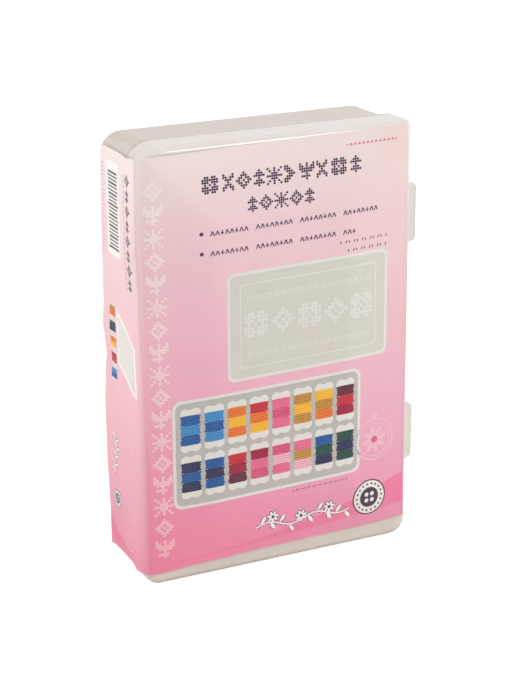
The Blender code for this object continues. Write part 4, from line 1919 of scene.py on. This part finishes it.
@dataclass
class FrontPrint(Print):
    """The front panel's print: stitched headings, thread bobbins, a sprig and a button."""

    panel: Panel = Panel.FRONT
    tilt: float = 0.022
    pitch: float = 0.98
    small_pitch: float = 0.882
    border_pitch: float = 1.12
    border_left: float = -55.9
    border_foot: float = 13.2
    border_step: float = 9.25
    border_lean: float = 0.09
    border_count: int = 17
    sampler_middle: Pair = (12.0, 105.5)
    sampler_pitch: float = 1.5
    case_middle: Pair = (-6.0, 56.0)
    bobbin_left: float = -40.6
    bobbin_step: float = 9.9
    hoop_middle: Pair = (43.2, 45.5)
    button_middle: Pair = (41.0, 19.9)
    stalk_start: Pair = (-12.5, 17.4)
    sweep_start: float = -50.0
    sweep_width: float = 107.6
    sweep_count: int = 26

    def heading(self) -> Stitcher:
        """Return two rows of navy cross-stitch ornaments."""
        stitch = self.sheet("heading")
        upper = (FLOWER, LATTICE, DIAMOND, PINE, SNOW, WAVE, TULIP, LATTICE, FLOWER, PINE)
        stitch.charts(upper, -35.0, 161.2, self.pitch, 0.8)
        stitch.charts((PINE, DIAMOND, SNOW, DIAMOND, PINE), -15.0, 151.6, self.small_pitch, 0.6)
        return stitch

    def fine_rows(self) -> Stitcher:
        """Return thin rows of running, feather and arrow stitches."""
        stitch = self.sheet("fine_rows")
        for end, level in ((45.0, 145.4), (33.0, 137.4)):
            stitch.disc((-34.6, level + 0.4), 0.8, Ink.NAVY, 1, 16)
            self._feathers(stitch, -31.0, end, level)
        for start, end, level in ((26.5, 50.0, 133.4), (30.0, 50.4, 129.8)):
            stitch.dashes(start, end, level, 1.25, 1.9)
        stitch.dashes(4.6, 31.0, 30.9, 0.7, 1.3)
        stitch.dashes(30.0, 53.2, 172.6, 1.0, 0.95, Ink.ROSE)
        return stitch

    @staticmethod
    def _feathers(stitch: Stitcher, start: float, end: float, level: float) -> None:
        """Draw a row of feather stitches, with an upright cross after each two.

        Args:
            stitch: Where they are drawn.
            start: Left end.
            end: Right end.
            level: Height of the row's middle.
        """
        across, index, half, width = start, 0, 0.8, 0.45
        low, high = level - 0.9, level + 1.1
        while across < end:
            middle, after = across + half, across + 2 * half
            if index % 9 == 8:
                across += 1.0
            elif index % 3 == 2:
                stitch.bar((across, level), (after, level), stitch.line, Ink.NAVY)
                stitch.bar((middle, low), (middle, high), stitch.line, Ink.NAVY, 2)
            else:
                stitch.bar((across, low), (middle, high), width, Ink.NAVY)
                stitch.bar((middle, high), (after, low), width, Ink.NAVY, 2)
            across += 2.05
            index += 1

    def border(self) -> Stitcher:
        """Return the pale column of large ornaments beside the front fold."""
        stitch = self.sheet("border")
        for index in range(self.border_count):
            left = self.border_left - self.border_lean * index
            foot = self.border_foot + self.border_step * index
            chart = (TULIP, DIAMOND, SNOW)[index % 3]
            stitch.chart(chart, left, foot, self.border_pitch, Ink.GHOST, 1, True)
        return stitch

    def sampler(self) -> Stitcher:
        """Return a pale stitched sampler above the bobbins."""
        stitch = self.sheet("sampler")
        frames = ((73.0, 45.0, 3.0), (70.4, 42.4, 2.2), (62.0, 35.0, 1.6), (61.0, 34.0, 1.4))
        for index, (width, depth, turn) in enumerate(frames):
            ink = Ink.PANEL if index % 2 else Ink.PANEL_LIGHT
            stitch.block(self.sampler_middle, width, depth, ink, index + 1, turn)
        for index, chart in enumerate((FLOWER, DIAMOND, FLOWER, DIAMOND, FLOWER)):
            left = 12.0 * (index - 1) - len(chart[0]) * self.sampler_pitch / 2
            stitch.chart(chart, left, 100.5, self.sampler_pitch, Ink.PANEL_LIGHT, 5)
        for index in range(19):
            for foot in (92.5, 116.0):
                stitch.chart(SMALL_CROSS, 3.0 * index - 15.9, foot, 0.7, Ink.PANEL_LIGHT, 5)
        return stitch

    def bobbins(self) -> Stitcher:
        """Return two rows of wound bobbins in a pale case."""
        stitch = self.sheet("bobbins")
        stitch.block(self.case_middle, 84.0, 46.0, Ink.PANEL_LIGHT, 1, 3.5)
        stitch.block(self.case_middle, 81.5, 43.5, Ink.PANEL_SHADE, 2, 2.8)
        upper = (
            (Ink.BLUE, Ink.SKY, Ink.BLUE), (Ink.SKY, Ink.BLUE, Ink.SKY),
            (Ink.ORANGE, Ink.YELLOW, Ink.ORANGE), (Ink.YELLOW, Ink.ORANGE, Ink.RED),
            (Ink.PINK, Ink.ROSE, Ink.PINK), (Ink.GOLD, Ink.YELLOW, Ink.GOLD),
            (Ink.ORANGE, Ink.GOLD, Ink.YELLOW), (Ink.CRIMSON, Ink.RED, Ink.MAROON),
        )
        lower = (
            (Ink.MIDNIGHT, Ink.BLUE, Ink.MIDNIGHT), (Ink.BLUE, Ink.MIDNIGHT, Ink.BLUE),
            (Ink.MAROON, Ink.CRIMSON, Ink.RED), (Ink.ROSE, Ink.PINK, Ink.CRIMSON),
            (Ink.PINK, Ink.BLUSH, Ink.ROSE), (Ink.BLUSH, Ink.GOLD, Ink.PINK),
            (Ink.MIDNIGHT, Ink.GREEN, Ink.BLUE), (Ink.GREEN, Ink.MIDNIGHT, Ink.GREEN),
        )
        for foot, row in ((57.0, upper), (37.0, lower)):
            for index, threads in enumerate(row):
                across = self.bobbin_left + self.bobbin_step * index
                stitch.wound_bobbin(across, foot, 8.6, 18.5, threads, 3)
        return stitch

    def sprig(self) -> Stitcher:
        """Return a white daisy sprig with a navy outline."""
        stitch = self.sheet("sprig")
        left, level = self.stalk_start
        stalk = [(left + 2.2 * index, level + 1.5 * math.sin(index * 0.62)) for index in range(21)]
        leaves = {index: (2.4, 3.6 if index % 4 == 1 else -3.6) for index in range(1, 20, 2)}
        daisies = [(stalk[index][0] + 1.2, stalk[index][1] + 2.2) for index in (3, 9, 15)]
        for width, ink, layer in ((1.5, Ink.NAVY, 1), (0.75, Ink.WHITE, 3)):
            stitch.sprig(stalk, leaves, width, 1.0, ink, layer)
            for daisy in daisies:
                stitch.petals(daisy, 2.6 + width * 0.4, 7, ink, layer + 2, 0.3 + width * 0.14)
        for daisy in daisies:
            stitch.disc(daisy, 0.7, Ink.NAVY, 7, 12)
        return stitch

    def corner(self) -> Stitcher:
        """Return the deeper pink sweep, the pale hoop and the button at the lower right."""
        stitch = self.sheet("corner")
        upper, lower = [], []
        for index in range(self.sweep_count + 1):
            share = index / self.sweep_count
            across = self.sweep_start + self.sweep_width * share
            upper.append((across, 10.6 + 17.4 * share**2.2))
            lower.append((across, 9.4 + 4.9 * share**2.6 + 1.2 * math.sin(math.pi * share)))
        stitch.band(lower, upper, Ink.SWEEP)
        for radius, width in ((9.4, 0.7), (7.6, 0.5)):
            stitch.ring(self.hoop_middle, radius, width, Ink.BLUSH)
        stitch.petals(self.hoop_middle, 6.4, 8, Ink.BLUSH, 1, 0.34)
        stitch.disc(self.hoop_middle, 1.5, Ink.ROSE, 3, 16)
        stitch.block((self.hoop_middle[0], self.hoop_middle[1] + 10.7), 3.0, 2.4, Ink.BLUSH)
        stitch.button(self.button_middle, 8.0, 2)
        return stitch

    def sheets(self) -> list[Stitcher]:
        """Draw every sheet of the front's print."""
        return [self.corner(), self.border(), self.heading(), self.fine_rows(), self.sampler(),
                self.bobbins(), self.sprig()]


@dataclass
class SpinePrint(Print):
    """The spine's print: stripes, a navy column, a small panel of threads, a sprig and a button."""

    panel: Panel = Panel.SPINE
    patch_middle: Pair = (4.0, 152.5)
    stripe_foot: float = 136.6
    stripe_step: float = 1.45
    column_middle: float = -14.4
    column_pitch: float = 0.74
    bobbin_across: float = 8.2
    stalk_start: Pair = (9.2, 38.5)
    sweep_start: Pair = (17.0, 8.2)
    sweep_size: Pair = (24.0, 10.0)
    sweep_count: int = 16
    hoop_middle: Pair = (-4.0, 14.2)
    button_middle: Pair = (9.1, 28.4)

    def head(self) -> Stitcher:
        """Return the pale patch with even stripes, and the navy column beside it."""
        stitch = self.sheet("head")
        stitch.block(self.patch_middle, 14.4, 38.0, Ink.WHITE, 1, 0.8)
        for index in range(22):
            level = self.stripe_foot + self.stripe_step * index
            width, depth = 9.6 if index % 4 else 11.0, 0.62 if index % 3 else 0.9
            stitch.block((self.patch_middle[0] - 0.4, level), width, depth, Ink.STRIPE, 2)
        for index in range(8):
            chart = DIAMOND if index % 2 else PINE
            left = self.column_middle - 0.36 * len(chart[0])
            stitch.chart(chart, left, 123.4 + 5.9 * index, self.column_pitch, Ink.NAVY)
        for index in range(24):
            level = 133.0 + 1.55 * index
            stitch.bar((12.6 + index % 3, level), (17.6, level), 0.7, Ink.BLUSH)
        for index in range(23):
            level = 122.8 + 2.05 * index
            stitch.bar((-9.9, level), (-9.0, level + 1.1), stitch.line, Ink.NAVY)
        return stitch

    def picture(self) -> Stitcher:
        """Return a small pale panel with wound threads beside it."""
        stitch = self.sheet("picture")
        panels = (
            (Ink.WHITE, 1, [(3.6, 112.0), (3.6, 89.0), (-16.2, 80.0), (-16.2, 101.0)]),
            (Ink.PANEL_LIGHT, 2, [(2.4, 109.6), (2.4, 90.2), (-12.6, 83.4), (-12.6, 101.4)]),
            (Ink.PANEL, 2, [(-13.4, 100.8), (-13.4, 83.2), (-14.6, 82.6), (-14.6, 100.4)]),
        )
        for ink, layer, outline in panels:
            stitch.shape(outline, ink, layer)
        threads = ((Ink.BLUE, Ink.SKY), (Ink.RED, Ink.CRIMSON), (Ink.YELLOW, Ink.ORANGE),
                   (Ink.MIDNIGHT, Ink.GREEN), (Ink.ORANGE, Ink.GOLD))
        for index, pair in enumerate(threads):
            stitch.wound_bobbin(self.bobbin_across, 80.4 + 6.6 * index, 6.4, 6.2, pair)
        return stitch

    def foot(self) -> Stitcher:
        """Return the sprig, the button and the deeper sweep at the foot."""
        stitch = self.sheet("foot")
        across, level = self.stalk_start
        stalk = [(across + 1.1 * math.sin(index * 0.7), level + 1.9 * index) for index in range(11)]
        leaves = {index: (2.6 if index % 2 else -2.6, 1.6) for index in range(1, 10)}
        for width, ink, layer in ((1.1, Ink.NAVY, 1), (0.55, Ink.WHITE, 3)):
            stitch.sprig(stalk, leaves, width, 0.7, ink, layer)
        (across, level), (width, rise) = self.sweep_start, self.sweep_size
        shares = [index / self.sweep_count for index in range(self.sweep_count + 1)]
        lower = [(across - width * share, level) for share in shares]
        upper = [(across - width * share, level + rise * (1 - share) ** 1.8) for share in shares]
        stitch.band(lower, upper, Ink.SWEEP)
        for radius, width in ((4.4, 0.5), (2.4, 0.4)):
            stitch.ring(self.hoop_middle, radius, width, Ink.BLUSH, 24)
        stitch.button(self.button_middle, 4.0, 2)
        return stitch

    def sheets(self) -> list[Stitcher]:
        """Draw every sheet of the spine's print."""
        return [self.head(), self.picture(), self.foot()]


@dataclass
class BackPrint(Print):
    """The back panel's print, which the photograph doesn't show: a stitched frame and ornaments."""

    sides: Pair = (-50.0, 46.0)
    ends: Pair = (14.0, 168.0)
    stitch_step: float = 4.0
    stitch_length: float = 2.4
    stitch_width: float = 0.6
    middle: float = -2.0

    def frame(self, stitch: Stitcher) -> None:
        """Draw the frame of running stitches.

        Args:
            stitch: Where it is drawn.
        """
        place = self.sides[0]
        while place < self.sides[1]:
            for level in self.ends:
                end = (place + self.stitch_length, level)
                stitch.bar((place, level), end, self.stitch_width, Ink.WHITE)
            place += self.stitch_step
        level = self.ends[0]
        while level < self.ends[1]:
            for side in self.sides:
                end = (side, level + self.stitch_length)
                stitch.bar((side, level), end, self.stitch_width, Ink.WHITE)
            level += self.stitch_step

    def sheets(self) -> list[Stitcher]:
        """Draw the back's only sheet."""
        stitch = self.sheet("print")
        self.frame(stitch)
        charts = (FLOWER, LATTICE, DIAMOND, LATTICE, FLOWER, LATTICE, DIAMOND, LATTICE, FLOWER)
        stitch.charts(charts, -37.0, 150.0, 1.0, 1.4)
        stitch.block((self.middle, 106.0), 70.0, 60.0, Ink.PANEL_LIGHT, 1, 3.0)
        pairs = (
            (Ink.BLUE, Ink.SKY), (Ink.YELLOW, Ink.ORANGE), (Ink.ROSE, Ink.PINK), (Ink.GREEN, Ink.MIDNIGHT),
            (Ink.GOLD, Ink.YELLOW), (Ink.CRIMSON, Ink.RED),
        )
        for index, pair in enumerate(pairs):
            for row in range(3):
                threads = pair[::-1] if row % 2 else pair
                stitch.wound_bobbin(11.0 * index - 29.5, 78.5 + 19.0 * row, 8.8, 16.0, threads, 2)
        for index in range(9):
            stitch.chart(SMALL_DIAMOND, 8.6 * index - 38.0, 56.0, 0.9, Ink.NAVY)
            stitch.chart(SMALL_CROSS, 8.6 * index - 33.4, 57.0, 0.8, Ink.NAVY)
        stitch.button((self.middle, 34.0), 8.0)
        return [stitch]


@dataclass
class BobbinPack:
    """The card bobbins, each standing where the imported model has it."""

    nodes: tuple[str, ...]
    lobe: float = 4.2 * MM
    lobe_steps: int = 18
    neck_step: float = 4.0 * MM
    waist: float = 1.0 * MM
    slit_width: float = 1.4 * MM
    slit_depth: float = 3.2 * MM
    hole: float = 1.9 * MM
    hole_steps: int = 24
    edge: float = 0.1 * MM

    def outline(self, half_across: float, half_up: float) -> list[Pair]:
        """Return a bobbin's outline: a neck for thread between four round lobes.

        Args:
            half_across: Half its width.
            half_up: Half its height.

        Returns:
            Points across and up.
        """
        centre = (half_across - self.lobe, half_up - self.lobe)
        waist = half_across - self.waist
        quarter = [(half_across - 2 * self.lobe, half_up - self.neck_step)]
        quarter += arc(centre, self.lobe, 2 * QUARTER, 0.0, self.lobe_steps)
        quarter.append((waist, self.slit_width / 2))
        right = quarter + [(waist - self.slit_depth, 0.0)]
        right += [(across, -up) for across, up in reversed(quarter)]
        return right + [(-across, -up) for across, up in right]

    def mesh(self, size: Vector, paints: Paints) -> Mesh:
        """Build the stamped card that every bobbin shares.

        Args:
            size: A bobbin's size in X, Y and Z.
            paints: The box's materials.

        Returns:
            The mesh, about its own middle.
        """
        data = bmesh.new()
        half_across, half_up = size.z / 2, size.y / 2
        centre = (half_across - self.lobe, half_up - self.lobe)
        hole = arc(centre, self.hole, 0.0, FULL_TURN, self.hole_steps)[:-1]
        edges = []
        for loop in (self.outline(half_across, half_up), hole):
            ring = [data.verts.new((-size.x / 2, -up, across)) for across, up in loop]
            for index, vertex in enumerate(ring):
                edges.append(data.edges.new((vertex, ring[(index + 1) % len(ring)])))
        bmesh.ops.triangle_fill(data, edges=edges, use_beauty=True)
        made = bmesh.ops.extrude_face_region(data, geom=list(data.faces))
        moved = [item for item in made["geom"] if isinstance(item, BMVert)]
        bmesh.ops.translate(data, verts=moved, vec=(size.x, 0.0, 0.0))
        bmesh.ops.recalc_face_normals(data, faces=data.faces)
        rims = [edge for edge in data.edges if edge.calc_face_angle(0.0) > QUARTER * 0.8]
        rims = [edge for edge in rims if abs(edge.verts[0].co.x - edge.verts[1].co.x) < size.x / 2]
        bmesh.ops.bevel(data, geom=rims, offset=self.edge, segments=2, profile=0.5, affect="EDGES")
        for face in data.faces:
            face.material_index = 0 if abs(face.normal.x) > 0.9 else 1
        mesh = bpy.data.meshes.new("bobbin_card")
        data.to_mesh(mesh)
        data.free()
        mesh.materials.append(paints.bobbin)
        mesh.materials.append(paints.bobbin_edge)
        mesh.shade_smooth()
        mesh.set_sharp_from_angle(angle=math.radians(35.0))
        return mesh

    def build(self, paints: Paints) -> list[Object]:
        """Stand every bobbin in its place.

        Args:
            paints: The box's materials.

        Returns:
            The bobbins.
        """
        low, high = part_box(self.nodes[0])
        mesh = self.mesh(high - low, paints)
        made = []
        for node in self.nodes:
            low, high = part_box(node)
            item = add_object(node.replace("bobbin", "card_bobbin"), mesh)
            item.location = (low + high) / 2
            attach(item, "tray")
            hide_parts(node)
            made.append(item)
        return made


@dataclass
class Lamp:
    """A soft square lamp, aimed at the box, which shiny faces mirror or leave out."""

    name: str
    azimuth: float
    elevation: float
    distance: float
    size: float
    power: float
    mirrored: bool = True

    def place(self, target: Vector) -> None:
        """Add the lamp to the scene.

        Args:
            target: Where it points.
        """
        light = bpy.data.lights.new(self.name, "AREA")
        light.shape = "SQUARE"
        light.size = self.size
        light.energy = self.power
        item = add_object(self.name, light)
        item.visible_glossy = self.mirrored
        way = direction(self.azimuth, self.elevation)
        item.location = target + way * self.distance
        item.rotation_mode = "QUATERNION"
        item.rotation_quaternion = (-way).to_track_quat("-Z", "Y")


@dataclass
class Studio:
    """A white floor and surroundings, with soft lamps from both sides, the front and above."""

    ambient: float = 0.245
    floor_size: float = 6.0
    floor_drop: float = 0.2 * MM
    floor_glow: float = 0.80
    floor_colour: tuple[float, ...] = (0.78, 0.74, 0.69, 1.0)
    white: tuple[float, ...] = (1.0, 1.0, 1.0, 1.0)
    lamps: tuple[Lamp, ...] = (
        Lamp("left_lamp", -101.0, 28.0, 1.1, 0.6, 7.3, mirrored=False),
        Lamp("front_lamp", 31.0, 37.0, 1.2, 0.35, 4.7),
        Lamp("right_lamp", 70.0, 20.0, 1.1, 0.8, 6.5, mirrored=False),
        Lamp("top_lamp", 10.0, 82.0, 1.1, 0.8, 1.8),
    )

    def floor(self) -> Object:
        """Return the floor, which shows white and keeps the box's shadow."""
        data = bmesh.new()
        bmesh.ops.create_grid(data, x_segments=8, y_segments=8, size=self.floor_size / 2)
        floor = finish_mesh("studio_floor", data)
        floor.location.z = -self.floor_drop
        shader = Shader("studio_floor", 0.9)
        path = shader.graph.add("ShaderNodeLightPath").outputs
        seen = shader.graph.math("MAXIMUM", path["Is Camera Ray"], path["Is Transmission Ray"])
        shader.feed(Base_Color=self.floor_colour, Specular_IOR_Level=0.1, Emission_Color=self.white,
                    Emission_Strength=shader.graph.math("MULTIPLY", seen, self.floor_glow))
        floor.data.materials.append(shader.material)
        return floor

    def world(self) -> None:
        """Make surroundings that show white and light the box softly."""
        world = bpy.data.worlds.new("studio_world")
        world.use_nodes = True
        bpy.context.scene.world = world
        graph = Graph(world.node_tree)
        path = graph.add("ShaderNodeLightPath").outputs
        seen = graph.math("MAXIMUM", path["Is Camera Ray"], path["Is Glossy Ray"])
        seen = graph.math("MAXIMUM", seen, path["Is Transmission Ray"])
        extra = graph.math("MULTIPLY", seen, 1.0 - self.ambient)
        background = world.node_tree.nodes["Background"].inputs
        graph.feed(background["Color"], self.white)
        graph.feed(background["Strength"], graph.math("ADD", extra, self.ambient))

    def build(self, target: Vector) -> None:
        """Build the studio round a target.

        Args:
            target: The box's middle.
        """
        self.floor()
        self.world()
        for lamp in self.lamps:
            lamp.place(target)
        bpy.context.scene.view_settings.view_transform = "Standard"


@dataclass
class PhotoCamera:
    """The photograph's camera, as fitted to the box's corners."""

    azimuth: float = -26.285
    elevation: float = 18.317
    roll: float = -0.448
    distance: float = 781.037 * MM
    target: Triple = (-0.05 * MM, 0.0, 88.785 * MM)
    focal_pixels: float = 1895.817
    picture_height: float = 688.0
    sensor: float = 36.0

    def build(self) -> Object:
        """Place the camera.

        Returns:
            The camera.
        """
        back = direction(self.azimuth, self.elevation)
        data = bpy.data.cameras.new("photo_camera")
        data.sensor_fit = "VERTICAL"
        data.sensor_height = self.sensor
        data.sensor_width = self.sensor
        data.lens = self.sensor * self.focal_pixels / self.picture_height
        camera = add_object("photo_camera", data)
        place = Matrix.Translation(Vector(self.target) + back * self.distance)
        lean = Matrix.Rotation(math.radians(self.roll), 4, "Z")
        camera.matrix_world = place @ back.to_track_quat("Z", "Y").to_matrix().to_4x4() @ lean
        bpy.context.scene.camera = camera
        return camera


def main() -> None:
    """Build the dressed box, the studio and the camera, and report each piece."""
    logging.basicConfig(level=logging.INFO, format="%(name)s: %(message)s")
    box = BoxFrame.read()
    path = CardPath(box)
    PhotoCamera().build()
    Studio().build(Vector((0.0, 0.0, box.height / 2)))
    paints = Paints()
    bobbins = tuple(sorted(name for name in frame["nodes"] if name.startswith("bobbin_")))
    pieces = [
        Tray(box).build(paints),
        Lid(box).build(paints),
        HingeSide(box).build(paints),
        Clasp(box, "clasp_lower", 0.12 * MM).build(paints),
        Clasp(box, "clasp_upper").build(paints),
        CardWrap(path).build(paints),
        *FrontPrint(path).build(paints),
        *SpinePrint(path).build(paints),
        *BackPrint(path).build(paints),
        *BobbinPack(bobbins).build(paints),
    ]
    for piece in pieces:
        LOG.info("%s: %d faces", piece.name, len(piece.data.polygons))


if __name__ == "__main__":
    main()
